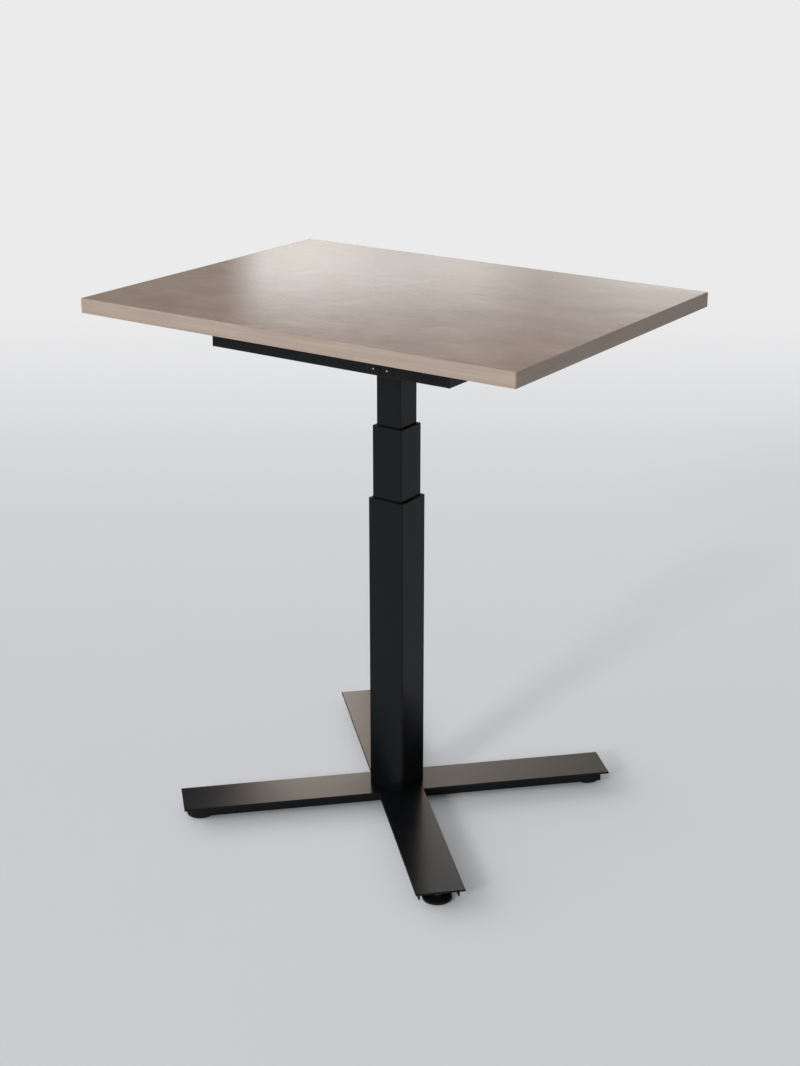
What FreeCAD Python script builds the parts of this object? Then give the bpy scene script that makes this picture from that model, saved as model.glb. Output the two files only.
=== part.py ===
import FreeCAD
import Part
import Sketcher
import os
import re
from FreeCAD import Rotation, Vector

# A sit-stand desk on one electric lifting column.
# A laminated rectangular top rests on a frame of folded rails. The frame is carried by three square tubes
# that slide in one another, the widest at the bottom, and the lowest tube stands on a cross of four
# legs with levelling feet. Two spindles inside the tubes, one sliding in the other, lift both stages
# at the same rate.
# Millimetres, with Z up from the floor, X along the long side of the top and Y towards the back.

SIZES = {
    # Tabletop: a board with a laminate on each face and a band glued round its edge
    "top_width": 800,
    "top_depth": 600,
    "core_thick": 22,
    "laminate_thick": 0.8,
    "band_thick": 2,
    "glue_line": 0.1,
    "core_corner": 0.5,
    "band_ease": 0.8,
    # Clearances shared by all the pieces
    "seat_clear": 0.1,
    "run_clear": 0.4,
    "thread_clear": 0.1,
    "turn_clear": 0.3,
    "hole_clear": 0.3,
    # Base: four legs of plate with flanges under them, mitred in the middle
    "foot_gap": 9.5,
    "leg_height": 18.5,
    "leg_width": 80,
    "leg_reach": 375,
    "leg_sheet": 3,
    "leg_overhang": 13,
    "flange_inset": 6.5,
    "leg_bend": 1.5,
    "mitre_gap": 0.2,
    "hub_width": 60,
    "hub_reach": 85,
    "hub_thick": 5,
    "bolt_radius": 3,
    "bolt_head_radius": 5.5,
    "bolt_head_height": 4,
    "leg_bolt_near": 24,
    "leg_bolt_far": 37,
    # Levelling feet
    "foot_setback": 30,
    "foot_radius": 24,
    "foot_chamfer": 2,
    "foot_rim": 5,
    "foot_shoulder": 7.5,
    "foot_neck_radius": 8,
    "stud_radius": 5,
    "stud_seat": 3,
    "stud_tip_gap": 1,
    "foot_nut_radius": 9.8,
    # Column tubes
    "outer_width": 68,
    "outer_length": 527,
    "middle_width": 58,
    "middle_length": 515,
    "inner_width": 48,
    "inner_length": 520,
    "tube_wall": 2,
    "tube_corner": 3,
    "rim_thick": 1.5,
    "rim_ease": 0.8,
    "skirt_length": 25,
    "shoe_height": 40,
    "lower_out": 124,
    "upper_out": 133.5,
    "foot_plate_thick": 10,
    "floor_thick": 5,
    # Lifting spindles, their nuts, tubes and bearings
    "nut_tube_radius": 13,
    "nut_tube_bore": 11,
    "nut_tube_length": 327,
    "lower_nut_height": 25,
    "carrier_radius": 17,
    "carrier_bore": 15,
    "carrier_length": 361,
    "pass_clear": 1,
    "hollow_radius": 9,
    "hollow_bore": 6.5,
    "hollow_length": 369,
    "hollow_flange_radius": 12,
    "hollow_flange": 3,
    "bearing_height": 8,
    "clip_thick": 1.5,
    "upper_nut_height": 18,
    "spindle_radius": 5,
    "spindle_length": 564,
    "spindle_in_gear": 24,
    "spindle_collar_radius": 8,
    "spindle_collar": 3,
    "driver_radius": 6.1,
    "driver_height": 16,
    "key_reach": 7.5,
    "key_width": 3.4,
    # Column head
    "cap_height": 20,
    "cap_bore": 12,
    "head_bearing_drop": 2,
    "head_bearing_height": 10,
    "head_plate_thick": 6,
    "head_plate_width": 190,
    "head_plate_depth": 120,
    "head_plate_corner": 6,
    "head_hole": 14,
    "cap_screw_pitch": 30,
    "cap_screw_radius": 3,
    "cap_screw_head_radius": 5,
    "cap_screw_head_height": 4,
    "cap_screw_length": 18,
    "head_bolt_pitch": 90,
    "nut_height": 5,
    "bolt_tip": 2,
    # Top frame
    "frame_width": 448,
    "frame_depth": 380,
    "rail_height": 52,
    "rail_flange": 28,
    "rail_sheet": 2,
    "rail_bend": 1.2,
    "rail_gap": 0.5,
    "cross_offset": 60,
    "cross_flange": 30,
    "cross_sheet": 2.5,
    "screw_radius": 2,
    "screw_head_radius": 4.5,
    "screw_head_height": 2.5,
    "screw_in_top": 16,
    "screw_inner": 32,
    "screw_outer": 160,
    "screw_side": 105,
    # Gear motor
    "gear_width": 64,
    "gear_depth": 58,
    "gear_height": 42,
    "gear_corner": 6,
    "gear_ease": 3,
    "gear_base_width": 96,
    "gear_base_thick": 5,
    "gear_boss_radius": 20,
    "gear_boss_length": 8,
    "gear_screw_span": 80,
    "gear_screw_depth": 40,
    "gear_screw_radius": 2.5,
    "gear_screw_head_radius": 4.2,
    "gear_screw_head_height": 3,
    "motor_radius": 19,
    "motor_length": 96,
    "motor_neck_radius": 15,
    "motor_neck_length": 4,
    "motor_cap_radius": 16,
    "motor_cap_length": 6,
    # Control box
    "box_width": 72,
    "box_depth": 180,
    "box_height": 34,
    "box_corner": 5,
    "box_ease": 4,
    "ear_reach": 14,
    "ear_width": 24,
    "ear_thick": 3,
    "inlet_width": 24,
    "inlet_height": 17,
    "inlet_depth": 16,
    "inlet_offset": 19,
    "pin_width": 4,
    "pin_thick": 2,
    "pin_length": 13,
    "pin_spread": 7,
    "pin_drop": 2,
    "pin_rise": 3,
    "port_width": 13,
    "port_height": 10,
    "port_depth": 12,
    "port_start": 1,
    "port_pitch": 16,
    # Hand control under the front edge
    "hand_width": 50,
    "hand_depth": 30,
    "hand_height": 19,
    "hand_corner": 2,
    "hand_ease": 1.5,
    "hand_offset": 171,
    "hand_setback": 10,
    "button_width": 21.5,
    "button_height": 13,
    "button_corner": 2,
    "button_depth": 3,
    "button_proud": 1.2,
    "button_ease": 0.6,
    "button_pitch": 23.4,
    "button_well": 5,
    "hand_screw_pitch": 36,
    "hand_screw_back": 20,
    "hand_screw_recess": 10,
}

# Numbers by which a sketch knows the points of a line or arc, its two axes and its origin
START, END, CENTRE = range(1, 4)
X_AXIS, Y_AXIS = range(-1, -3, -1)
ORIGIN = X_AXIS

# Heights above the floor
LEG_TOP = "(foot_gap + leg_height)"
PLATE_FOOT = f"({LEG_TOP} - leg_sheet)"
HUB_FOOT = f"({PLATE_FOOT} - hub_thick)"
FOOT_PLATE_TOP = f"({LEG_TOP} + foot_plate_thick)"
OUTER_END = f"({LEG_TOP} + outer_length)"
MIDDLE_RIM = f"({OUTER_END} + rim_thick + lower_out)"
MIDDLE_END = f"({MIDDLE_RIM} - rim_thick)"
MIDDLE_FOOT = f"({MIDDLE_END} - middle_length)"
CARRIER_FOOT = f"({MIDDLE_FOOT} + floor_thick)"
CARRIER_END = f"({CARRIER_FOOT} + carrier_length)"
HOLLOW_END = f"({CARRIER_END} - turn_clear)"
BEARING_FOOT = f"({HOLLOW_END} - hollow_flange - seat_clear - bearing_height)"
HEAD = f"({MIDDLE_RIM} + upper_out)"
INNER_FOOT = f"({HEAD} - inner_length)"
HEAD_BEARING_FOOT = f"({HEAD} - head_bearing_drop - head_bearing_height)"
DECK = f"({HEAD} + head_plate_thick)"
SPINDLE_FOOT = f"({DECK} + spindle_in_gear - spindle_length)"
RAIL_FOOT = f"({DECK} - rail_sheet)"
UNDERSIDE = f"({RAIL_FOOT} + rail_height)"
CORE_FOOT = f"({UNDERSIDE} + laminate_thick)"
CORE_TOP = f"({CORE_FOOT} + core_thick)"

# Outlines that several pieces share
CORE_WIDTH = "(top_width - 2 * (band_thick + glue_line))"
CORE_DEPTH = "(top_depth - 2 * (band_thick + glue_line))"
BAND_CORNER = "(core_corner + glue_line + band_thick)"
INNER_CORNER = "max(tube_corner - tube_wall; 0.3)"
HAND_FRONT = "(hand_setback - top_depth / 2)"

# Middle of the gap between the left rail and the left cross member, where the control box hangs
BOX_MIDDLE = "(-(frame_width / 2 - rail_flange + cross_offset + cross_flange) / 2)"

doc = FreeCAD.newDocument("SitStandDesk")
sheet = doc.addObject("Spreadsheet::Sheet", "Sizes")
for row, (alias, size) in enumerate(SIZES.items(), start=1):
    sheet.set(f"A{row}", alias)
    sheet.set(f"B{row}", str(size))
    sheet.setAlias(f"B{row}", alias)
doc.recompute()

nodes = []


def on_sheet(expression):
    """The expression with each size's name pointed at its cell."""
    return re.sub(r"[a-z_]+", lambda word: f"Sizes.{word[0]}" if word[0] in SIZES else word[0], expression)


def value(expression):
    """The number that an expression gives for the present sizes."""
    return float(sheet.evalExpression(on_sheet(expression)))


def near(first, second):
    """True where two lengths are the same to a ten-thousandth of a millimetre."""
    return abs(first - second) < 1e-4


def bind(thing, path, expression):
    """Tie one property of an object to the sheet."""
    thing.setExpression(path, on_sheet(expression))


def place(thing, x="0", y="0", z="0", turn=Rotation()):
    """Put an object at a bound place, turned by a fixed rotation."""
    thing.Placement = FreeCAD.Placement(Vector(), turn)
    for axis, expression in zip("xyz", (x, y, z)):
        bind(thing, f"Placement.Base.{axis}", expression)


def keep(thing, label):
    """Name a finished piece and note it for writing."""
    thing.Label = label
    nodes.append(thing)
    return thing


def new_body(label, **where):
    """An empty body at its place."""
    body = doc.addObject("PartDesign::Body", label)
    place(body, **where)
    return keep(body, label)


def new_sketch(body, role="XY_Plane", offset="0"):
    """A sketch on one of the body's own planes, moved along that plane's normal."""
    sketch = body.newObject("Sketcher::SketchObject", f"{body.Label}_sketch")
    plane = next(item for item in body.Origin.OriginFeatures if item.Role == role)
    sketch.AttachmentSupport = [(plane, "")]
    sketch.MapMode = "FlatFace"
    bind(sketch, "AttachmentOffset.Base.z", offset)
    return sketch


def constrain(sketch, expression, kind, *where):
    """Add a dimension whose value comes from the sheet."""
    index = sketch.addConstraint(Sketcher.Constraint(kind, *where, value(expression)))
    bind(sketch, f"Constraints[{index}]", expression)


def hold(sketch, line, point, x, y):
    """Fix a sketch point by its two distances from the sketch's origin."""
    for kind, axis, expression in (("DistanceX", Y_AXIS, x), ("DistanceY", X_AXIS, y)):
        if expression == "0":
            sketch.addConstraint(Sketcher.Constraint("PointOnObject", line, point, axis))
        else:
            constrain(sketch, expression, kind, ORIGIN, START, line, point)


def polygon(sketch, corners):
    """A closed outline of straight lines through corners given as pairs of expressions."""
    spots = [Vector(value(x), value(y), 0) for x, y in corners]
    first = sketch.GeometryCount
    for here, there in zip(spots, spots[1:] + spots[:1]):
        sketch.addGeometry(Part.LineSegment(here, there), False)
    for index, (x, y) in enumerate(corners):
        following = first + (index + 1) % len(corners)
        sketch.addConstraint(Sketcher.Constraint("Coincident", first + index, END, following, START))
        hold(sketch, first + index, START, x, y)


def rectangle(sketch, left, right, low, high):
    """An upright rectangle between two pairs of bound distances."""
    polygon(sketch, [(left, low), (right, low), (right, high), (left, high)])


def circle(sketch, x, y, radius):
    """A circle at a bound centre."""
    ring = Part.Circle(Vector(value(x), value(y), 0), Vector(0, 0, 1), value(radius))
    index = sketch.addGeometry(ring, False)
    hold(sketch, index, CENTRE, x, y)
    constrain(sketch, radius, "Radius", index)


def rounded_rectangle(sketch, width, depth, radius):
    """A centred rectangle with four equal corner arcs, drawn anticlockwise from its lower side."""
    across, along, bend = value(width) / 2, value(depth) / 2, value(radius)
    inner_x, inner_y = across - bend, along - bend
    sides = [
        (Vector(-inner_x, -along, 0), Vector(inner_x, -along, 0)),
        (Vector(across, -inner_y, 0), Vector(across, inner_y, 0)),
        (Vector(inner_x, along, 0), Vector(-inner_x, along, 0)),
        (Vector(-across, inner_y, 0), Vector(-across, -inner_y, 0)),
    ]
    centres = [Vector(x * inner_x, y * inner_y, 0) for x, y in ((1, -1), (1, 1), (-1, 1), (-1, -1))]
    lines = [sketch.addGeometry(Part.LineSegment(*side), False) for side in sides]
    arcs = []
    for quarter, centre in enumerate(centres):
        ring = Part.Circle(centre, Vector(0, 0, 1), bend)
        start = ring.parameter(sides[quarter][1])
        end = ring.parameter(sides[(quarter + 1) % 4][0])
        arcs.append(sketch.addGeometry(Part.ArcOfCircle(ring, start, end), False))
    for quarter in range(4):
        following = lines[(quarter + 1) % 4]
        sketch.addConstraint(Sketcher.Constraint("Tangent", lines[quarter], END, arcs[quarter], START))
        sketch.addConstraint(Sketcher.Constraint("Tangent", arcs[quarter], END, following, START))
        sketch.addConstraint(Sketcher.Constraint(("Horizontal", "Vertical")[quarter % 2], lines[quarter]))
    for earlier, later in zip(arcs, arcs[1:]):
        sketch.addConstraint(Sketcher.Constraint("Equal", earlier, later))
    sketch.addConstraint(Sketcher.Constraint("Symmetric", arcs[3], CENTRE, arcs[1], CENTRE, ORIGIN, START))
    constrain(sketch, width, "DistanceX", lines[3], START, lines[1], START)
    constrain(sketch, depth, "DistanceY", lines[0], START, lines[2], START)
    constrain(sketch, radius, "Radius", arcs[0])


def extrude(body, sketch, length, back=False, kind="Pad"):
    """Raise a pad from a sketch or sink a pocket, along the sketch's normal or against it."""
    feature = body.newObject(f"PartDesign::{kind}", f"{body.Label}_{kind.lower()}")
    feature.Profile = sketch
    feature.Reversed = back
    bind(feature, "Length", length)
    body.Tip = feature
    return feature


def cut(body, sketch, depth, back=False):
    """Sink a pocket and make sure that it took material away."""
    doc.recompute()
    before = body.Shape.Volume
    extrude(body, sketch, depth, back, kind="Pocket")
    doc.recompute()
    if body.Shape.Volume > before - 1e-3:
        raise RuntimeError(f"a pocket in {body.Label} cuts nothing")


def drill(body, places, radius, depth, level="0", up=True):
    """Round holes at several places, sunk upwards or downwards from one level of the body."""
    sketch = new_sketch(body, offset=level)
    for x, y in places:
        circle(sketch, x, y, radius)
    cut(body, sketch, depth, back=up)


def round_edges(body, radius, chosen):
    """Round the edges whose boxes pass a test."""
    doc.recompute()
    solid = body.Tip
    names = [f"Edge{number}" for number, edge in enumerate(solid.Shape.Edges, 1) if chosen(edge.BoundBox)]
    if not names:
        raise RuntimeError(f"no edge of {body.Label} to round")
    fillet = body.newObject("PartDesign::Fillet", f"{body.Label}_fillet")
    fillet.Base = (solid, names)
    bind(fillet, "Radius", radius)
    body.Tip = fillet


def rim_test(width, depth, height):
    """A test for the outer edges of a centred rounded outline at one height."""
    across, along, level = value(width) / 2, value(depth) / 2, value(height)

    def chosen(box):
        flat = near(box.ZMin, level) and near(box.ZMax, level)
        far_x = max(abs(box.XMin), abs(box.XMax))
        far_y = max(abs(box.YMin), abs(box.YMax))
        return flat and (near(far_x, across) or near(far_y, along))

    return chosen


def block(label, width, depth, height, corner, **where):
    """A plate or block with rounded upright corners, centred on its place."""
    body = new_body(label, **where)
    sketch = new_sketch(body)
    rounded_rectangle(sketch, width, depth, corner)
    extrude(body, sketch, height)
    return body


def square_tube(label, width, corner, bore, bore_corner, length, **where):
    """A square tube, or a square ring where it is short."""
    body = new_body(label, **where)
    sketch = new_sketch(body)
    rounded_rectangle(sketch, width, width, corner)
    rounded_rectangle(sketch, bore, bore, bore_corner)
    extrude(body, sketch, length)
    return body


def round_tube(label, radius, bore, length, **where):
    """A round tube, bush or ring about the column's axis."""
    body = new_body(label, **where)
    sketch = new_sketch(body)
    circle(sketch, "0", "0", radius)
    circle(sketch, "0", "0", bore)
    extrude(body, sketch, length)
    return body


def turned(label, profile, **where):
    """A turned piece: a half profile of radius and height pairs, revolved about its own axis."""
    body = new_body(label, **where)
    sketch = new_sketch(body, "XZ_Plane")
    polygon(sketch, profile)
    revolution = body.newObject("PartDesign::Revolution", f"{label}_turning")
    revolution.Profile = sketch
    revolution.ReferenceAxis = (sketch, ["V_Axis"])
    revolution.Angle = 360
    body.Tip = revolution
    return body


def group(label, pieces):
    """Several equal pieces kept as one node of separate solids."""
    compound = doc.addObject("Part::Compound", label)
    compound.Links = pieces
    return keep(compound, label)


def fastener(x, y, seat, head_radius, head_height, shank_radius, length, up=True, hexagonal=False):
    """One screw: a head that bears on its seat and a plain shank that runs on from it."""
    head = doc.addObject("Part::Prism" if hexagonal else "Part::Cylinder", "head")
    shank = doc.addObject("Part::Cylinder", "shank")
    bind(head, "Circumradius" if hexagonal else "Radius", head_radius)
    bind(head, "Height", head_height)
    bind(shank, "Radius", shank_radius)
    bind(shank, "Height", length)
    place(head, x, y, f"{seat} - {head_height}" if up else seat)
    place(shank, x, y, seat if up else f"{seat} - {length}")
    screw = doc.addObject("Part::Fuse", "screw")
    screw.Base = head
    screw.Tool = shank
    screw.Refine = True
    return screw


def hexagon_nut(x, y, foot, radius, height, bore):
    """One hexagon nut."""
    prism = doc.addObject("Part::Prism", "hexagon")
    bind(prism, "Circumradius", radius)
    bind(prism, "Height", height)
    hole = doc.addObject("Part::Cylinder", "bore")
    bind(hole, "Radius", bore)
    bind(hole, "Height", height)
    for solid in (prism, hole):
        place(solid, x, y, foot)
    nut = doc.addObject("Part::Cut", "nut")
    nut.Base = prism
    nut.Tool = hole
    return nut


def four(x, y):
    """Four places in a rectangle about the axis, anticlockwise from the rear right."""
    signs = ((1, 1), (-1, 1), (-1, -1), (1, -1))
    return [(f"{across} * ({x})", f"{along} * ({y})") for across, along in signs]


def diagonal(reach):
    """Four places on the legs' centre lines, at one distance from the axis."""
    return four(f"{reach} / sqrt(2)", f"{reach} / sqrt(2)")


# Places of the fasteners
LEG_BOLTS = diagonal("leg_bolt_near") + diagonal("leg_bolt_far")
FEET = diagonal("(leg_reach - foot_setback)")
CAP_SCREWS = four("cap_screw_pitch / 2", "cap_screw_pitch / 2")
HEAD_BOLTS = four("cross_offset + cross_flange / 2", "head_bolt_pitch / 2")
GEAR_SCREWS = four("gear_screw_span / 2", "gear_screw_depth / 2")
RAIL_SCREWS = four("screw_inner", "frame_depth / 2 - rail_flange / 2")
RAIL_SCREWS += four("screw_outer", "frame_depth / 2 - rail_flange / 2")
RAIL_SCREWS += four("frame_width / 2 - rail_flange / 2", "screw_side")
BOX_SCREWS = [(BOX_MIDDLE, f"{side} * (box_depth / 2 + ear_reach / 2)") for side in (1, -1)]
HAND_SCREW_Y = f"({HAND_FRONT} + hand_screw_back)"
HAND_SCREWS = [(f"hand_offset + {side} * hand_screw_pitch / 2", HAND_SCREW_Y) for side in (1, -1)]
TOP_HOLES = RAIL_SCREWS + BOX_SCREWS + HAND_SCREWS


def tabletop():
    """The board, its two laminates and the band round its edge."""
    under = block("under_laminate", CORE_WIDTH, CORE_DEPTH, "laminate_thick", "core_corner", z=UNDERSIDE)
    drill(under, TOP_HOLES, "screw_radius + thread_clear", "laminate_thick")
    core = block("board_core", CORE_WIDTH, CORE_DEPTH, "core_thick", "core_corner", z=CORE_FOOT)
    drill(core, TOP_HOLES, "screw_radius + thread_clear", "screw_in_top")
    block("top_laminate", CORE_WIDTH, CORE_DEPTH, "laminate_thick", "core_corner", z=CORE_TOP)

    height = "core_thick + 2 * laminate_thick"
    band = new_body("edge_band", z=UNDERSIDE)
    sketch = new_sketch(band)
    rounded_rectangle(sketch, "top_width", "top_depth", BAND_CORNER)
    inside = [f"{size} - 2 * band_thick" for size in ("top_width", "top_depth")]
    rounded_rectangle(sketch, *inside, "core_corner + glue_line")
    extrude(band, sketch, height)
    for level in (height, "0"):
        round_edges(band, "band_ease", rim_test("top_width", "top_depth", level))


def leg(label, angle):
    """A leg: a top plate with a mitred inner end, and two flanges set in from its long edges and its tip."""
    half = "leg_width / 2"
    root = f"({half} + mitre_gap)"
    body = new_body(label, z=PLATE_FOOT, turn=Rotation(Vector(0, 0, 1), angle))
    plate = new_sketch(body)
    polygon(plate, [
        ("mitre_gap", "0"),
        (root, f"-{half}"),
        ("leg_reach", f"-{half}"),
        ("leg_reach", half),
        (root, half),
    ])
    extrude(body, plate, "leg_sheet")
    flanges = new_sketch(body)
    side = f"({half} - flange_inset)"
    start, tip = f"({side} + mitre_gap)", "(leg_reach - leg_overhang)"
    rectangle(flanges, start, tip, f"{side} - leg_sheet", side)
    rectangle(flanges, start, tip, f"-{side}", f"leg_sheet - {side}")
    extrude(body, flanges, "leg_height - leg_sheet", back=True)
    drill(body, [("leg_bolt_near", "0"), ("leg_bolt_far", "0")], "bolt_radius + hole_clear", "leg_sheet")
    edge_height, edge_side = value("leg_sheet"), value(half)

    def long_edge(box):
        level = near(box.ZMin, edge_height) and near(box.ZMax, edge_height)
        return level and near(abs(box.YMin), edge_side) and near(box.YMin, box.YMax)

    round_edges(body, "leg_bend", long_edge)


def base():
    """The cross of legs, the plates that clamp the column to it, and their bolts."""
    for label, angle in (("rear_right", 45), ("rear_left", 135), ("front_left", 225), ("front_right", 315)):
        leg(f"leg_{label}", angle)
    hub = new_body("hub_plate", z=HUB_FOOT, turn=Rotation(Vector(0, 0, 1), 45))
    for across, along in (("hub_reach", "hub_width / 2"), ("hub_width / 2", "hub_reach")):
        bar = new_sketch(hub)
        rectangle(bar, f"-({across})", across, f"-({along})", along)
        extrude(hub, bar, "hub_thick")
    straight = [(f"{x} * {reach}", f"{y} * {reach}") for reach in ("leg_bolt_near", "leg_bolt_far")
                for x, y in ((1, 0), (0, 1), (-1, 0), (0, -1))]
    drill(hub, [tuple("0" if term.startswith("0") else term for term in spot) for spot in straight],
          "bolt_radius + hole_clear", "hub_thick")

    plate_width = "(outer_width - 2 * (tube_wall + seat_clear))"
    foot_plate = block("column_foot_plate", plate_width, plate_width, "foot_plate_thick", INNER_CORNER,
                       z=LEG_TOP)
    drill(foot_plate, LEG_BOLTS, "bolt_radius + thread_clear", "foot_plate_thick")
    length = "hub_thick + leg_sheet + foot_plate_thick - bolt_tip"
    group("leg_bolts", [
        fastener(x, y, HUB_FOOT, "bolt_head_radius", "bolt_head_height", "bolt_radius", length,
                 hexagonal=True)
        for x, y in LEG_BOLTS
    ])


def levelling_feet():
    """Four feet whose studs screw into long nuts welded under the legs."""
    nut_height = "leg_height - leg_sheet"
    bore = "stud_radius + thread_clear"
    group("foot_nuts", [
        hexagon_nut(x, y, "foot_gap", "foot_nut_radius", nut_height, bore)
        for x, y in FEET
    ])
    pad = [
        ("0", "0"),
        ("foot_radius - foot_chamfer", "0"),
        ("foot_radius", "foot_chamfer"),
        ("foot_radius", "foot_rim"),
        ("foot_neck_radius", "foot_shoulder"),
        ("foot_neck_radius", "foot_gap"),
        (bore, "foot_gap"),
        (bore, "stud_seat"),
        ("0", "stud_seat"),
    ]
    for corner, (x, y) in zip(("rear_right", "rear_left", "front_left", "front_right"), FEET):
        turned(f"foot_pad_{corner}", pad, x=x, y=y)
        stud = new_body(f"foot_stud_{corner}", x=x, y=y, z="stud_seat")
        sketch = new_sketch(stud)
        circle(sketch, "0", "0", "stud_radius")
        extrude(stud, sketch, f"{PLATE_FOOT} - stud_seat - stud_tip_gap")


def glide_collar(label, width, moving_width, end):
    """A moulded collar: a thin cap flush with the tube and a skirt that lines the tube's mouth."""
    bore = f"({moving_width} + 2 * run_clear)"
    body = square_tube(label, width, "tube_corner", bore, "tube_corner + run_clear", "rim_thick", z=end)
    skirt = new_sketch(body)
    skirt_width = f"{width} - 2 * (tube_wall + seat_clear)"
    rounded_rectangle(skirt, skirt_width, skirt_width, INNER_CORNER)
    rounded_rectangle(skirt, bore, bore, "tube_corner + run_clear")
    extrude(body, skirt, "skirt_length", back=True)
    round_edges(body, "rim_ease", rim_test(width, width, "rim_thick"))


def glide_shoe(label, width, outside_width, foot):
    """A moulded sleeve on the lower end of a moving tube, which runs inside the tube around it."""
    outline = f"({outside_width} - 2 * (tube_wall + run_clear))"
    bore = f"({width} + 2 * seat_clear)"
    square_tube(label, outline, INNER_CORNER, bore, "tube_corner + seat_clear", "shoe_height", z=foot)


def column_tubes():
    """The three tubes with the collars, sleeves and end plates that guide and close them."""
    for stage, foot in (("outer", LEG_TOP), ("middle", MIDDLE_FOOT), ("inner", INNER_FOOT)):
        width = f"{stage}_width"
        bore = f"({width} - 2 * tube_wall)"
        square_tube(f"{stage}_tube", width, "tube_corner", bore, INNER_CORNER, f"{stage}_length", z=foot)
    glide_collar("outer_collar", "outer_width", "middle_width", OUTER_END)
    glide_collar("middle_collar", "middle_width", "inner_width", MIDDLE_END)
    glide_shoe("middle_shoe", "middle_width", "outer_width", MIDDLE_FOOT)
    glide_shoe("inner_shoe", "inner_width", "middle_width", INNER_FOOT)

    floor_width = "(middle_width - 2 * (tube_wall + seat_clear))"
    floor = block("middle_floor", floor_width, floor_width, "floor_thick", INNER_CORNER, z=MIDDLE_FOOT)
    drill(floor, [("0", "0")], "nut_tube_radius + pass_clear", "floor_thick")
    cap_width = "(inner_width - 2 * (tube_wall + seat_clear))"
    cap = block("inner_cap", cap_width, cap_width, "cap_height", INNER_CORNER, z=f"{HEAD} - cap_height")
    drill(cap, [("0", "0")], "cap_bore", "cap_height")
    screw_depth = "cap_screw_length - head_plate_thick + cap_screw_head_height"
    drill(cap, CAP_SCREWS, "cap_screw_radius + thread_clear", screw_depth, "cap_height", up=False)


def lifting_spindles():
    """A solid spindle in a keyed hollow one, with the nut and bearing of each."""
    round_tube("nut_tube", "nut_tube_radius", "nut_tube_bore", "nut_tube_length", z=FOOT_PLATE_TOP)
    round_tube("lower_spindle_nut", "nut_tube_radius", "hollow_radius + thread_clear", "lower_nut_height",
               z=f"{FOOT_PLATE_TOP} + nut_tube_length")
    round_tube("nut_carrier", "carrier_radius", "carrier_bore", "carrier_length", z=CARRIER_FOOT)
    round_tube("upper_spindle_nut", "carrier_radius", "spindle_radius + thread_clear", "upper_nut_height",
               z=CARRIER_END)
    round_tube("hollow_spindle_bearing", "carrier_bore - seat_clear", "hollow_radius + thread_clear",
               "bearing_height", z=BEARING_FOOT)
    round_tube("hollow_spindle_clip", "hollow_flange_radius", "hollow_radius + seat_clear", "clip_thick",
               z=f"{BEARING_FOOT} - seat_clear - clip_thick")

    neck = "hollow_length - hollow_flange"
    hollow = turned("hollow_spindle", [
        ("hollow_bore", "0"),
        ("hollow_radius", "0"),
        ("hollow_radius", neck),
        ("hollow_flange_radius", neck),
        ("hollow_flange_radius", "hollow_length"),
        ("hollow_bore", "hollow_length"),
    ], z=f"{HOLLOW_END} - hollow_length")
    keyway = new_sketch(hollow)
    slot_reach = "(key_reach + turn_clear)"
    slot_half = "(key_width / 2 + turn_clear)"
    rectangle(keyway, f"-{slot_reach}", slot_reach, f"-{slot_half}", slot_half)
    cut(hollow, keyway, "hollow_length", back=True)

    collar_top = f"({HEAD_BEARING_FOOT} - {SPINDLE_FOOT} - seat_clear)"
    collar_foot = f"({collar_top} - spindle_collar)"
    turned("drive_spindle", [
        ("0", "0"),
        ("spindle_radius", "0"),
        ("spindle_radius", collar_foot),
        ("spindle_collar_radius", collar_foot),
        ("spindle_collar_radius", collar_top),
        ("spindle_radius", collar_top),
        ("spindle_radius", "spindle_length"),
        ("0", "spindle_length"),
    ], z=SPINDLE_FOOT)
    round_tube("head_bearing", "cap_bore - seat_clear", "spindle_radius + thread_clear",
               "head_bearing_height", z=HEAD_BEARING_FOOT)
    driver = new_body("spindle_driver", z=SPINDLE_FOOT)
    sleeve = new_sketch(driver)
    circle(sleeve, "0", "0", "driver_radius")
    extrude(driver, sleeve, "driver_height")
    key = new_sketch(driver)
    rectangle(key, "-key_reach", "key_reach", "-key_width / 2", "key_width / 2")
    extrude(driver, key, "driver_height")
    drill(driver, [("0", "0")], "spindle_radius + seat_clear", "driver_height")


def column_head():
    """The plate on the inner tube, screwed to the tube's cap and bolted to the cross members."""
    plate = block("head_plate", "head_plate_width", "head_plate_depth", "head_plate_thick",
                  "head_plate_corner", z=HEAD)
    drill(plate, [("0", "0")], "head_hole", "head_plate_thick")
    drill(plate, CAP_SCREWS, "cap_screw_radius + hole_clear", "head_plate_thick")
    drill(plate, CAP_SCREWS, "cap_screw_head_radius + hole_clear", "cap_screw_head_height",
          "head_plate_thick", up=False)
    drill(plate, HEAD_BOLTS, "bolt_radius + hole_clear", "head_plate_thick")
    drill(plate, GEAR_SCREWS, "gear_screw_radius + thread_clear", "head_plate_thick")
    group("cap_screws", [
        fastener(x, y, f"{DECK} - cap_screw_head_height", "cap_screw_head_radius", "cap_screw_head_height",
                 "cap_screw_radius", "cap_screw_length", up=False)
        for x, y in CAP_SCREWS
    ])
    bolt_length = "head_plate_thick + cross_sheet + nut_height + bolt_tip"
    group("head_bolts", [
        fastener(x, y, HEAD, "bolt_head_radius", "bolt_head_height", "bolt_radius", bolt_length,
                 hexagonal=True)
        for x, y in HEAD_BOLTS
    ])
    group("head_nuts", [
        hexagon_nut(x, y, f"{DECK} + cross_sheet", "bolt_head_radius", "nut_height",
                    "bolt_radius + thread_clear")
        for x, y in HEAD_BOLTS
    ])


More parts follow.
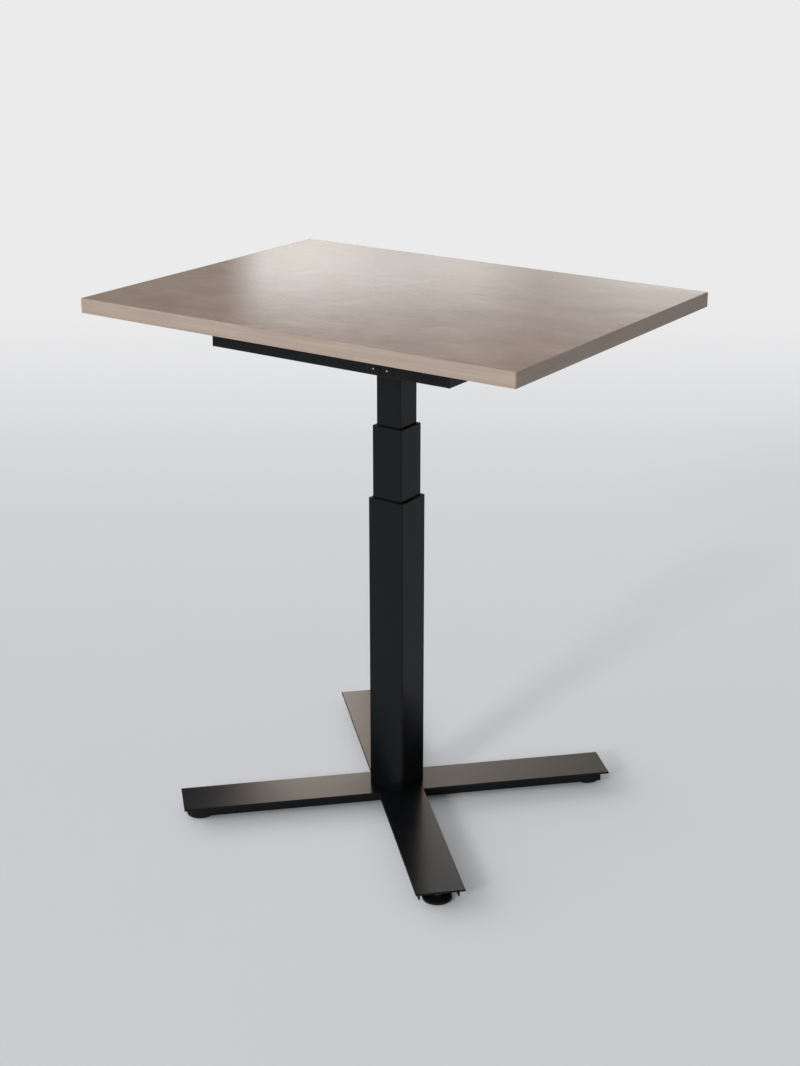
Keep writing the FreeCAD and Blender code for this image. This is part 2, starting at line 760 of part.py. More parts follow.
def fold_test(height):
    """A test for the two outer edges of a channel's web."""
    level = value(height)

    def chosen(box):
        web = near(box.YMin, 0) and near(box.YMax, 0) and near(box.ZMin, box.ZMax)
        return web and (near(box.ZMin, 0) or near(box.ZMin, level))

    return chosen


def channel(label, length, height, flange, bend, thickness, **where):
    """A folded channel that runs along its own X, with its web at the back and flanges forward."""
    body = new_body(label, **where)
    profile = new_sketch(body, "YZ_Plane")
    inside = f"({height} - {thickness})"
    polygon(profile, [
        ("0", "0"),
        (flange, "0"),
        (flange, thickness),
        (thickness, thickness),
        (thickness, inside),
        (flange, inside),
        (flange, height),
        ("0", height),
    ])
    extrude(body, profile, length)
    round_edges(body, bend, fold_test(height))
    return body


def screw_holes(rail, along):
    """Holes for wood screws in a rail's upper flange, and wider ones below that let head and driver through."""
    places = [(x, "rail_flange / 2") for x in along]
    drill(rail, places, "screw_radius + hole_clear", "rail_sheet", "rail_height", up=False)
    drill(rail, places, "screw_head_radius + hole_clear", "rail_sheet")


def top_frame():
    """Front and rear rails, the end rails that close them, and the cross members over the column."""
    half = "(frame_width / 2 - rail_sheet)"
    for label, side, angle in (("front_rail", -1, 0), ("rear_rail", 1, 180)):
        rail = channel(label, f"2 * {half}", "rail_height", "rail_flange", "rail_bend", "rail_sheet",
                       x=f"{side} * {half}", y=f"{side} * frame_depth / 2", z=RAIL_FOOT,
                       turn=Rotation(Vector(0, 0, 1), angle))
        screw_holes(rail, [f"{half} + {way} * {screw}" for screw in ("screw_inner", "screw_outer")
                           for way in (1, -1)])

    margin = "(rail_flange + rail_gap)"
    for label, side in (("right_rail", 1), ("left_rail", -1)):
        rail = new_body(label, x=f"{side} * frame_width / 2", y=f"{-side} * frame_depth / 2", z=RAIL_FOOT,
                        turn=Rotation(Vector(0, 0, 1), side * 90))
        web = new_sketch(rail, "YZ_Plane")
        rectangle(web, "0", "rail_sheet", "0", "rail_height")
        extrude(rail, web, "frame_depth")
        flanges = new_sketch(rail, "YZ_Plane", margin)
        rectangle(flanges, "0", "rail_flange", "0", "rail_sheet")
        rectangle(flanges, "0", "rail_flange", "rail_height - rail_sheet", "rail_height")
        extrude(rail, flanges, f"frame_depth - 2 * {margin}")
        round_edges(rail, "rail_bend", fold_test("rail_height"))
        screw_holes(rail, [f"frame_depth / 2 + {way} * screw_side" for way in (1, -1)])

    reach = "(frame_depth / 2 - rail_sheet - seat_clear)"
    for label, side in (("right_cross_member", 1), ("left_cross_member", -1)):
        member = channel(label, f"2 * {reach}", "rail_height - 2 * rail_sheet", "cross_flange", "rail_bend",
                         "cross_sheet", x=f"{side} * cross_offset", y=f"{side} * {reach}", z=DECK,
                         turn=Rotation(Vector(0, 0, 1), side * -90))
        along = [f"{reach} + {way} * head_bolt_pitch / 2" for way in (1, -1)]
        drill(member, [(x, "cross_flange / 2") for x in along], "bolt_radius + hole_clear", "cross_sheet")


def top_fixings():
    """Wood screws that hold the rails, the control box and the hand control to the board."""
    length = "{} + laminate_thick + screw_in_top - bolt_tip"
    head = ("screw_head_radius", "screw_head_height", "screw_radius")
    seats = (
        ("rail_screws", RAIL_SCREWS, "rail_sheet"),
        ("control_box_screws", BOX_SCREWS, "ear_thick"),
        ("hand_control_screws", HAND_SCREWS, "(hand_height - hand_screw_recess)"),
    )
    for label, places, thick in seats:
        seat = f"({UNDERSIDE} - {thick})"
        group(label, [fastener(x, y, seat, *head, length.format(thick)) for x, y in places])


def gear_motor():
    """The closed gear housing on the head plate and the motor that drives it from behind."""
    housing = block("gear_housing", "gear_base_width", "gear_depth", "gear_base_thick", "gear_corner",
                    z=DECK)
    tower = new_sketch(housing)
    rounded_rectangle(tower, "gear_width", "gear_depth", "gear_corner")
    extrude(housing, tower, "gear_height")
    round_edges(housing, "gear_ease", rim_test("gear_width", "gear_depth", "gear_height"))
    boss = new_sketch(housing, "XZ_Plane", "-gear_depth / 2")
    axis_height = "(gear_height / 2)"
    circle(boss, "0", axis_height, "gear_boss_radius")
    extrude(housing, boss, "gear_boss_length", back=True)
    drill(housing, GEAR_SCREWS, "gear_screw_radius + hole_clear", "gear_base_thick")
    drill(housing, [("0", "0")], "spindle_radius + turn_clear", "spindle_in_gear + pass_clear")
    group("gear_screws", [
        fastener(x, y, f"{DECK} + gear_base_thick", "gear_screw_head_radius", "gear_screw_head_height",
                 "gear_screw_radius", "gear_base_thick + head_plate_thick - bolt_tip", up=False)
        for x, y in GEAR_SCREWS
    ])
    can_end = "(motor_neck_length + motor_length)"
    end = f"({can_end} + motor_cap_length)"
    turned("drive_motor", [
        ("0", "0"),
        ("motor_neck_radius", "0"),
        ("motor_neck_radius", "motor_neck_length"),
        ("motor_radius", "motor_neck_length"),
        ("motor_radius", can_end),
        ("motor_cap_radius", can_end),
        ("motor_cap_radius", end),
        ("0", end),
    ], y="gear_depth / 2 + gear_boss_length", z=f"{DECK} + {axis_height}",
           turn=Rotation(Vector(1, 0, 0), -90))


def control_box():
    """The power box under the board, with a mains inlet and two ports in its rear end."""
    box = block("control_box", "box_width", "box_depth", "box_height", "box_corner",
                x=BOX_MIDDLE, z=f"{UNDERSIDE} - box_height")
    round_edges(box, "box_ease", rim_test("box_width", "box_depth", "0"))
    ears = new_sketch(box, offset="box_height")
    ear_end = "(box_depth / 2 + ear_reach)"
    rectangle(ears, "-ear_width / 2", "ear_width / 2", f"-{ear_end}", ear_end)
    extrude(box, ears, "ear_thick", back=True)
    places = [("0", f"{side} * (box_depth / 2 + ear_reach / 2)") for side in (1, -1)]
    drill(box, places, "screw_radius + hole_clear", "ear_thick", "box_height", up=False)
    middle = "(box_height / 2 - ear_thick)"
    face = "-box_depth / 2"
    inlet = new_sketch(box, "XZ_Plane", face)
    rectangle(inlet, "-inlet_offset - inlet_width / 2", "inlet_width / 2 - inlet_offset",
              f"{middle} - inlet_height / 2", f"{middle} + inlet_height / 2")
    cut(box, inlet, "inlet_depth", back=True)
    ports = new_sketch(box, "XZ_Plane", face)
    for start in ("port_start", "(port_start + port_pitch)"):
        rectangle(ports, start, f"{start} + port_width",
                  f"{middle} - port_height / 2", f"{middle} + port_height / 2")
    cut(box, ports, "port_depth", back=True)

    pins = []
    for shift, level in (("-pin_spread", "-pin_drop"), ("0", "pin_rise"), ("pin_spread", "-pin_drop")):
        pin = doc.addObject("Part::Box", "inlet_pin")
        bind(pin, "Length", "pin_thick")
        bind(pin, "Width", "pin_length")
        bind(pin, "Height", "pin_width")
        place(pin, x=f"{BOX_MIDDLE} - inlet_offset + {shift} - pin_thick / 2",
              y="box_depth / 2 - inlet_depth",
              z=f"{UNDERSIDE} - box_height + {middle} + {level} - pin_width / 2")
        pins.append(pin)
    group("inlet_pins", pins)


def hand_control():
    """The two-button control under the front edge of the board."""
    foot = f"({UNDERSIDE} - hand_height)"
    body = block("hand_control", "hand_width", "hand_depth", "hand_height", "hand_corner",
                 x="hand_offset", y=f"{HAND_FRONT} + hand_depth / 2", z=foot)
    round_edges(body, "hand_ease", rim_test("hand_width", "hand_depth", "0"))
    wells = new_sketch(body, "XZ_Plane", "hand_depth / 2")
    across = "(button_width / 2 + turn_clear)"
    tall = "(button_height / 2 + turn_clear)"
    for side in (1, -1):
        centre = f"{side} * button_pitch / 2"
        rectangle(wells, f"{centre} - {across}", f"{centre} + {across}",
                  f"hand_height / 2 - {tall}", f"hand_height / 2 + {tall}")
    cut(body, wells, "button_well")
    places = [(f"{side} * hand_screw_pitch / 2", "hand_screw_back - hand_depth / 2") for side in (1, -1)]
    drill(body, places, "screw_radius + hole_clear", "hand_height")
    drill(body, places, "screw_head_radius + hole_clear", "hand_screw_recess")

    for label, side in (("button_up", 1), ("button_down", -1)):
        button = new_body(label, x=f"hand_offset + {side} * button_pitch / 2", y=HAND_FRONT,
                          z=f"{foot} + hand_height / 2")
        sketch = new_sketch(button, "XZ_Plane", "button_proud")
        rounded_rectangle(sketch, "button_width", "button_height", "button_corner")
        extrude(button, sketch, "button_proud + button_depth", back=True)
        front = -value("button_proud")
        round_edges(button, "button_ease", lambda box: near(box.YMin, front) and near(box.YMax, front))


def write_parts():
    """Stop if any feature failed or any piece is not sound, then write each piece."""
    doc.recompute()
    for item in doc.Objects:
        if {"Invalid", "Error"} & set(item.State):
            raise RuntimeError(f"{item.Label} failed: {item.State}")
    for node in nodes:
        if node.Shape.isNull() or not node.Shape.isValid() or not node.Shape.Solids:
            raise RuntimeError(f"{node.Label} is not a sound solid")
    os.makedirs("parts", exist_ok=True)
    for node in nodes:
        node.Shape.exportStep(f"parts/{node.Label}.step")
    print(f"{len(nodes)} pieces written")


tabletop()
base()
levelling_feet()
column_tubes()
lifting_spindles()
column_head()
top_frame()
top_fixings()
gear_motor()
control_box()
hand_control()
write_parts()
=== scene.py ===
from math import pi, radians, tau

import bmesh
import bpy
import numpy as np
from bpy.props import FloatProperty, FloatVectorProperty, PointerProperty
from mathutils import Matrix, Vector


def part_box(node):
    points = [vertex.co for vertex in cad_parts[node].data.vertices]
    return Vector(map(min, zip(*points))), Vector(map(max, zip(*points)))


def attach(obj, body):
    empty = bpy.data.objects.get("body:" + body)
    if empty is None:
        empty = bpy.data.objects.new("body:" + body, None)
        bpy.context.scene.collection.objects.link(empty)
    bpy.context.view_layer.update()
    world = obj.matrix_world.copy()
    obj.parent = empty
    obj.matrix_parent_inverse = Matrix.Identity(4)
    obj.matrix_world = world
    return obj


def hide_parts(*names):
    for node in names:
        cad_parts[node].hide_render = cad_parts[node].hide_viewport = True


bl_info = {
    "name": "Standing desk",
    "version": (1, 0, 0),
    "blender": (4, 5, 0),
    "location": "3D View > Sidebar > Desk",
    "description": "Dresses the frame of a one-column standing desk and sets it in a plain studio",
    "category": "Object",
}

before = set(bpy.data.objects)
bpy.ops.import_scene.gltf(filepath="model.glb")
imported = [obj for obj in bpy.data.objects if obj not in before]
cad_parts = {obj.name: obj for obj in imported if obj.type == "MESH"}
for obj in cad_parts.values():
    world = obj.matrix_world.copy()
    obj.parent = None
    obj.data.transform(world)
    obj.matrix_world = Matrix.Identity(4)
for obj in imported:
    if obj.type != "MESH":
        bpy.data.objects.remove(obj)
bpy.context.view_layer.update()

# Shapes are worked out in millimetres and go into the meshes in metres.
MM = 0.001
# Points nearer than this, in metres, are one point, and edges sharper than this, in degrees, stay sharp.
MERGE_DISTANCE = 2e-6
SHARP_ANGLE = 40
CORNERS = {"rear_right": 45, "rear_left": 135, "front_left": 225, "front_right": 315}


def linear(code):
    """The linear light of an sRGB hex colour: a straight part near black, a power of 2.4 above it."""
    parts = np.array([int(code[place:place + 2], 16) for place in (1, 3, 5)]) / 255
    light = np.where(parts <= 0.04045, parts / 12.92, ((parts + 0.055) / 1.055) ** 2.4)
    return tuple(float(part) for part in light)


def length(label, description, millimetres):
    """A size that a user may change, shown in the scene's own unit."""
    return FloatProperty(name=label, description=description, default=millimetres * MM, min=0, unit="LENGTH")


def colour(label, description, code):
    """A colour that a user may change, given as an sRGB hex value."""
    return FloatVectorProperty(name=label, description=description, default=linear(code), subtype="COLOR",
                               size=3, min=0, max=1)


def corners(node):
    """Lowest and highest corner of a CAD node at rest, in millimetres."""
    low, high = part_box(node)
    return np.array(low) / MM, np.array(high) / MM


class DeskSizes(bpy.types.PropertyGroup):
    """Sizes that finish the pieces."""

    band_ease: length("Band ease", "Rounding along both edges of the edge band", 0.8)
    band_thick: length("Band thickness", "Thickness of the edge band", 2)
    tube_wall: length("Tube wall", "Wall of the column's tubes", 2)
    tube_corner: length("Tube corner", "Outer radius of the tubes' upright corners", 3)
    collar_ease: length("Collar ease", "Rounding on the rim of the column's collars", 0.8)
    leg_width: length("Leg width", "Width of a leg's plate", 80)
    leg_sheet: length("Leg sheet", "Thickness of a leg's plate and flanges", 3)
    leg_overhang: length("Leg overhang", "How far a leg's plate runs past its flanges at the tip", 13)
    flange_inset: length("Flange inset", "How far the flanges sit in from a leg's long edges", 6.5)
    leg_bend: length("Leg edge", "Rounding of a leg's upper edges", 1.5)
    spindle_lead: length("Spindle lead", "Travel for one turn of a spindle", 10)
    thread_depth: length("Thread depth", "Depth of the spindles' thread", 0.9)
    button_crown: length("Button crown", "Height of the crown on a button's face", 0.35)


class DeskColours(bpy.types.PropertyGroup):
    """Colours of the finishes."""

    laminate_dark: colour("Laminate, dark", "Dark figure of the decor laminate", "#a28d80")
    laminate_light: colour("Laminate, light", "Light figure of the decor laminate", "#b39d8f")
    band_dark: colour("Band, dark", "Dark streaks of the edge band", "#9f8e82")
    band_light: colour("Band, light", "Light streaks of the edge band", "#ad9c90")
    paint: colour("Paint", "Powder coat on the steel", "#090b0e")
    collar: colour("Collar", "Moulded collars in the column's mouths", "#060607")
    mark: colour("Button mark", "Printed dot on each button", "#b4b6b8")
    floor: colour("Floor", "Studio floor under the desk", "#dfe1e4")
    backdrop: colour("Backdrop", "Studio background far behind the desk", "#ebebec")


def sizes():
    """The user's sizes in millimetres, by name."""
    held = bpy.context.scene.desk_sizes
    return {name: getattr(held, name) / MM for name in DeskSizes.__annotations__}


def chosen(name):
    """One of the user's colours with full opacity, as a shader takes it."""
    return (*getattr(bpy.context.scene.desk_colours, name), 1)


def tone(code):
    """An sRGB hex colour with full opacity, as a shader takes it."""
    return (*linear(code), 1)


def dimmed(shade, share):
    """A shader's colour with its light cut to a share."""
    return (*(share * part for part in shade[:3]), 1)


# Surfaces

def rings(rows, steps=6):
    """A stack of rounded rectangles, one for each row of width, depth, corner radius and height.

    Every point is its quarter's corner centre plus the radius times the direction of its angle.
    """
    rows = np.asarray(rows, float)[:, None, None, :]
    quarter = np.arange(4)[:, None]
    angle = (quarter + np.linspace(0, 1, steps)) * (pi / 2)
    across, along, radius, height = np.moveaxis(rows, -1, 0)
    sign_x = np.array([1, -1, -1, 1])[:, None]
    sign_y = np.array([1, 1, -1, -1])[:, None]
    x = sign_x * (across / 2 - radius) + radius * np.cos(angle)
    y = sign_y * (along / 2 - radius) + radius * np.sin(angle)
    points = np.stack([x, y, height + 0 * x], -1)
    return points.reshape(len(rows), -1, 3)


def turn_angles(turns):
    """Evenly spaced angles of one whole turn."""
    return np.arange(turns) * tau / turns


def polar(radius, angle, height):
    """Points at a radius, an angle and a height about the upright axis."""
    return np.stack([radius * np.cos(angle), radius * np.sin(angle), height + 0 * angle], -1)


def turned(profile, turns=48):
    """A profile of radius and height pairs, turned round the upright axis."""
    radius, height = np.asarray(profile, float).T[:, :, None]
    return polar(radius, turn_angles(turns), height)


def quarter_round(radius, steps=4):
    """Inset and rise along a rounded edge, from the flat face to the side."""
    angle = np.linspace(0, pi / 2, steps)
    return np.stack([radius * (1 - np.sin(angle)), radius * (1 - np.cos(angle))], -1)


def weave(points, around=True, ring=False, capped=False):
    """Four-sided faces over a grid of points: around closes the columns, ring the rows, capped the ends."""
    rows, columns = points.shape[:2]
    index = np.arange(rows * columns).reshape(rows, columns)
    ends = [index[0].tolist(), index[-1].tolist()] if capped else []
    if around:
        index = np.hstack([index, index[:, :1]])
    if ring:
        index = np.vstack([index, index[:1]])
    quads = np.stack([index[:-1, :-1], index[1:, :-1], index[1:, 1:], index[:-1, 1:]], -1)
    return points.reshape(-1, 3), quads.reshape(-1, 4).tolist() + ends


def shifted(patch, x=0, y=0, z=0, turn=0):
    """A patch turned about the upright axis by an angle in degrees and then moved."""
    points, faces = patch
    cosine, sine = np.cos(radians(turn)), np.sin(radians(turn))
    spin = np.array([(cosine, -sine, 0), (sine, cosine, 0), (0, 0, 1)])
    return points @ spin.T + (x, y, z), faces


def towards(patch, axis):
    """A patch whose own height is laid along one of the level axes, -Y or +Y."""
    points, faces = patch
    x, y, z = points.T
    return np.stack([x, z, -y] if axis == "+Y" else [x, -z, y], -1), faces


def make_piece(name, patches, slot, body, nodes=()):
    """One object of several patches, with merged seams, outward faces and the finish of its slot."""
    starts = np.cumsum([0] + [len(points) for points, _ in patches])
    faces = [[corner + int(start) for corner in face]
             for start, (_, patch) in zip(starts, patches) for face in patch]
    mesh = bpy.data.meshes.new(name)
    mesh.from_pydata(np.vstack([points for points, _ in patches]) * MM, [], faces)
    shell = bmesh.new()
    shell.from_mesh(mesh)
    bmesh.ops.remove_doubles(shell, verts=shell.verts, dist=MERGE_DISTANCE)
    bmesh.ops.recalc_face_normals(shell, faces=shell.faces)
    shell.to_mesh(mesh)
    shell.free()
    mesh.shade_smooth()
    mesh.set_sharp_from_angle(angle=radians(SHARP_ANGLE))
    mesh.materials.append(finish(slot))
    piece = bpy.data.objects.new(name, mesh)
    bpy.context.scene.collection.objects.link(piece)
    flat = piece.modifiers.new("flat", "WEIGHTED_NORMAL")
    flat.keep_sharp = True
    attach(piece, body)
    if nodes:
        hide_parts(*nodes)
    return piece


# Finishes

def wire(tree, node, inputs):
    """Links each input of a node to an output, or gives it a value."""
    for key, given in inputs.items():
        if isinstance(given, bpy.types.NodeSocket):
            tree.links.new(given, node.inputs[key])
        else:
            node.inputs[key].default_value = given


def add_node(tree, kind, inputs=None, stops=None, **settings):
    """Adds a node with its settings, its inputs and, where it is a colour ramp, its stops."""
    node = tree.nodes.new(kind)
    for name, given in settings.items():
        setattr(node, name, given)
    wire(tree, node, inputs or {})
    if stops:
        elements = node.color_ramp.elements
        while len(elements) < len(stops):
            elements.new(0.5)
        for element, (place, shade) in zip(elements, stops):
            element.position = place
            element.color = shade
    return node


def start_material(name):
    """A new material without nodes, and the piece's own coordinates for its patterns."""
    material = bpy.data.materials.new(name)
    material.use_nodes = True
    tree = material.node_tree
    tree.nodes.clear()
    return material, tree, add_node(tree, "ShaderNodeTexCoord").outputs["Object"]


def start_finish(name):
    """A new material with its shader, and the piece's own coordinates for its patterns."""
    material, tree, place = start_material(name)
    shader = add_node(tree, "ShaderNodeBsdfPrincipled")
    add_node(tree, "ShaderNodeOutputMaterial", {"Surface": shader.outputs[0]})
    return material, tree, shader, place


def per_metre(millimetres):
    """How many features of one size lie in a metre."""
    return 1 / (millimetres * MM)


def noise(tree, place, grain, detail=2, roughness=0.5, distortion=0):
    """Noise with features of one size, in millimetres."""
    return add_node(tree, "ShaderNodeTexNoise", {
        "Vector": place, "Scale": per_metre(grain), "Detail": detail, "Roughness": roughness,
        "Distortion": distortion}).outputs[0]


def stretched(tree, place, scale):
    """Coordinates that are scaled along each axis: a scale under one draws a pattern out."""
    return add_node(tree, "ShaderNodeMapping", {"Vector": place, "Scale": scale}).outputs[0]


def ramp(tree, value, *stops):
    """The colour of a value, between stops of a value and a colour each."""
    return add_node(tree, "ShaderNodeValToRGB", {"Fac": value}, stops).outputs[0]


def maths(tree, operation, *given):
    """The result of one operation on outputs or numbers."""
    return add_node(tree, "ShaderNodeMath", dict(enumerate(given)), operation=operation).outputs[0]


def mapped(tree, value, source, target=(0, 1), easing="LINEAR"):
    """A value taken from one range to another."""
    return add_node(tree, "ShaderNodeMapRange", {
        "Value": value, "From Min": source[0], "From Max": source[1], "To Min": target[0],
        "To Max": target[1]}, interpolation_type=easing).outputs[0]


def uneven(tree, pattern, low, high):
    """A roughness that follows the middle of a noise's range."""
    return mapped(tree, pattern, (0.3, 0.7), (low, high))


def relief(tree, height, strength, depth):
    """A surface that follows a pattern as its height, with the depth in millimetres."""
    return add_node(tree, "ShaderNodeBump", {
        "Strength": strength, "Distance": depth * MM, "Height": height}).outputs[0]


def coat(tree, shader, shade, roughness, normal, **more):
    """Gives a shader its colour, roughness and surface, and what else a finish needs."""
    wire(tree, shader, {"Base Color": shade, "Roughness": roughness, "Normal": normal, **more})


def decor_laminate():
    """Decor paper under a melamine skin: cloudy, mottled figure, faint grain along X, an uneven satin."""
    material, tree, shader, place = start_finish("decor_laminate")
    cloud = noise(tree, stretched(tree, place, (0.7, 1, 1)), 70, 5, 0.62, 0.4)
    # Real pores are about 0.3 mm wide; the grain is drawn at 5 mm so that it still shows.
    grain = noise(tree, stretched(tree, place, (0.12, 1, 1)), 5, 4, 0.65, 0.5)
    # The relief follows the mottle and the cloud, as on a skin that is pressed with its figure.
    mottle = noise(tree, place, 12, 4, 0.6, 1.2)
    clouded = maths(tree, "MULTIPLY_ADD", mottle, 0.3, cloud)
    figure = maths(tree, "MULTIPLY_ADD", grain, 0.12, clouded)
    shade = ramp(tree, figure, (0.51, chosen("laminate_dark")), (0.91, chosen("laminate_light")))
    coat(tree, shader, shade, uneven(tree, cloud, 0.14, 0.2), relief(tree, clouded, 0.6, 0.8), IOR=1.5)
    return material


def edge_band_print():
    """Printed plastic edge band: lighter than the top, with streaks that run along each edge."""
    material, tree, shader, place = start_finish("edge_band_print")
    parts = add_node(tree, "ShaderNodeSeparateXYZ", {0: place}).outputs
    # The run along any side of the top is x plus y, because the other one doesn't change there.
    run = maths(tree, "ADD", parts[0], parts[1])
    along = add_node(tree, "ShaderNodeCombineXYZ", {0: run, 2: parts[2]}).outputs[0]
    streak = noise(tree, stretched(tree, along, (0.03, 1, 1)), 5, 3, 0.6, 0.4)
    shade = ramp(tree, streak, (0.32, chosen("band_dark")), (0.68, chosen("band_light")))
    coat(tree, shader, shade, uneven(tree, streak, 0.4, 0.5), relief(tree, streak, 0.08, 0.3), IOR=1.5)
    return material


def backing_paper():
    """Plain balancing laminate: off-white paper with a faint cloud, dull."""
    material, tree, shader, place = start_finish("backing_paper")
    cloud = noise(tree, place, 30, 5, 0.6)
    shade = ramp(tree, cloud, (0.3, tone("#b8b0a7")), (0.7, tone("#c6bfb7")))
    coat(tree, shader, shade, 0.6, relief(tree, cloud, 0.05, 0.2), IOR=1.5)
    return material


def chipboard():
    """Pressed particleboard: tan chips of a few millimetres with dark and pale flecks."""
    material, tree, shader, place = start_finish("chipboard")
    chip = add_node(tree, "ShaderNodeTexVoronoi", {
        "Vector": place, "Scale": per_metre(3), "Randomness": 1}).outputs
    shade = ramp(tree, chip["Color"], (0.1, tone("#8f7049")), (0.5, tone("#b3946a")), (0.9, tone("#cdb488")))
    coat(tree, shader, shade, 0.85, relief(tree, chip["Distance"], 0.4, 0.4), IOR=1.45)
    return material


def powder_coat():
    """Baked polyester powder on steel: near black, satin, with a fine orange-peel skin."""
    material, tree, shader, place = start_finish("powder_coat")
    # Real orange peel is about 1 mm across; it is drawn at 2.5 mm so that it still shows.
    peel = noise(tree, place, 2.5)
    wear = noise(tree, place, 60, 4, 0.6)
    black = chosen("paint")
    shade = ramp(tree, wear, (0.35, dimmed(black, 0.75)), (0.65, black))
    coat(tree, shader, shade, uneven(tree, wear, 0.22, 0.26), relief(tree, peel, 0.05, 0.2), IOR=1.5)
    return material


def moulded(name, low, high, roughness, grain, depth):
    """A moulded plastic with a spark-eroded skin: fine pits of one grain size, dull highlights."""
    material, tree, shader, place = start_finish(name)
    skin = noise(tree, place, grain, 3, 0.6)
    shade = ramp(tree, skin, (0.35, low), (0.65, high))
    gloss = uneven(tree, skin, roughness - 0.05, roughness + 0.05)
    coat(tree, shader, shade, gloss, relief(tree, skin, 0.15, depth), IOR=1.5)
    return material


def collar_acetal():
    """Black acetal collars: deep black and matt, with no more than a faint sheen."""
    return moulded("collar_acetal", tone("#020202"), chosen("collar"), 0.6, 1.2, 0.1)


def pad_rubber():
    """Black rubber feet: matt, with a faint grey bloom."""
    return moulded("pad_rubber", tone("#0b0b0b"), tone("#171717"), 0.62, 1.5, 0.3)


def housing_abs():
    """Black ABS housings with a spark-eroded skin, drawn coarser than its real 0.3 mm to show."""
    return moulded("housing_abs", tone("#0c0c0d"), tone("#161617"), 0.5, 0.9, 0.2)


def handset_abs():
    """Black ABS handset: the same skin, a little finer."""
    return moulded("handset_abs", tone("#050506"), tone("#0a0a0b"), 0.55, 0.7, 0.15)


def button_silicone():
    """Black silicone buttons: matt and soft to the eye."""
    return moulded("button_silicone", tone("#060607"), tone("#0c0c0d"), 0.6, 0.8, 0.1)


def white_acetal():
    """Natural acetal of the sliding sleeves and nuts: milky white, waxy."""
    return moulded("white_acetal", tone("#dcdad4"), tone("#e8e6e1"), 0.4, 2.0, 0.1)


def glass_filled_nylon():
    """Glass-filled nylon of the gear housing: charcoal with pale fibre flecks."""
    return moulded("glass_filled_nylon", tone("#18191a"), tone("#2b2c2d"), 0.5, 1.1, 0.2)


def printed_mark():
    """Pad-printed dot on a button: pale grey ink, slightly uneven."""
    return moulded("printed_mark", chosen("mark"), tone("#c9cbcc"), 0.5, 0.5, 0.05)


def worked_metal(name, low, high, roughness, scale, grain):
    """A bare metal: its roughness and tint follow streaks of one width, drawn out along one axis."""
    material, tree, shader, place = start_finish(name)
    streak = noise(tree, stretched(tree, place, scale), grain, 3, 0.6)
    shade = ramp(tree, streak, (0.3, tone(low)), (0.7, tone(high)))
    gloss = uneven(tree, streak, roughness - 0.07, roughness + 0.07)
    coat(tree, shader, shade, gloss, relief(tree, streak, 0.1, 0.1), Metallic=1)
    return material


def zinc_plate():
    """Bright zinc plate with a blue passivation: pale grey, cloudy from the bath."""
    return worked_metal("zinc_plate", "#a9adb3", "#c3c7cb", 0.34, (1, 1, 1), 4)


def ground_steel():
    """Ground steel: bright, with fine rings left round the axis by the wheel."""
    return worked_metal("ground_steel", "#9fa0a2", "#bdbec0", 0.26, (0.2, 0.2, 1), 1)


def cast_alloy():
    """Pressure-cast aluminium: grey, slightly blotched and dull."""
    return worked_metal("cast_alloy", "#9a9b9d", "#b4b5b7", 0.48, (1, 1, 1), 6)


def drawn_can():
    """Deep-drawn steel motor can: nickel grey with faint lengthwise drawing marks."""
    return worked_metal("drawn_can", "#8b8c8d", "#a7a8a9", 0.36, (1, 0.08, 1), 2)


def contact_brass():
    """Nickel-plated brass of the inlet pins: warm pale grey."""
    return worked_metal("contact_brass", "#b9b2a2", "#cfc9ba", 0.25, (1, 0.2, 1), 1)


FINISHES = {
    "wood_laminate": decor_laminate,
    "edge_banding": edge_band_print,
    "balancing_laminate": backing_paper,
    "particleboard": chipboard,
    "powder_coated_steel": powder_coat,
    "black_collar_plastic": collar_acetal,
    "foot_rubber": pad_rubber,
    "control_box_abs": housing_abs,
    "hand_control_abs": handset_abs,
    "button_plastic": button_silicone,
    "button_mark": printed_mark,
    "acetal": white_acetal,
    "gear_case_nylon": glass_filled_nylon,
    "zinc_plated_steel": zinc_plate,
    "bright_steel": ground_steel,
    "cast_aluminium": cast_alloy,
    "motor_steel": drawn_can,
    "plated_brass": contact_brass,
}


def finish(slot):
    """The material of a slot, made the first time that a piece asks for it."""
    name = FINISHES[slot].__name__
    return bpy.data.materials.get(name) or FINISHES[slot]()


# Pieces

class DESK_OT_finishes(bpy.types.Operator):
    """Give every CAD piece the finish of its material slot."""

    bl_idname = "desk.finishes"
    bl_label = "Finishes"

    def execute(self, context):
        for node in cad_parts.values():
            for holder in node.material_slots:
                holder.material = finish(holder.material.name)
        return {"FINISHED"}


class DESK_OT_tabletop(bpy.types.Operator):
    """Lay the decor laminate and the eased edge band."""

    bl_idname = "desk.tabletop"
    bl_label = "Tabletop"

    def execute(self, context):
        size = sizes()
        low, high = corners("edge_band")
        width, depth, _ = high - low
        outer_corner, inner_corner, sheet_corner = 2.6, 0.6, 0.5
        eased = quarter_round(size["band_ease"])
        rows = [(width - 2 * inset, depth - 2 * inset, outer_corner - inset, low[2] + rise)
                for inset, rise in eased]
        rows += [(width - 2 * inset, depth - 2 * inset, outer_corner - inset, high[2] - rise)
                 for inset, rise in eased[::-1]]
        inner = [side - 2 * size["band_thick"] for side in (width, depth)]
        rows += [(*inner, inner_corner, level) for level in (high[2], low[2])]
        make_piece("edge_band_strip", [weave(rings(rows), ring=True)], "edge_banding", "top", ["edge_band"])

        low, high = corners("top_laminate")
        width, depth, _ = high - low
        sheet = rings([(width, depth, sheet_corner, level) for level in (low[2], high[2])])
        make_piece("laminate_sheet", [weave(sheet, capped=True)], "wood_laminate", "top", ["top_laminate"])
        return {"FINISHED"}


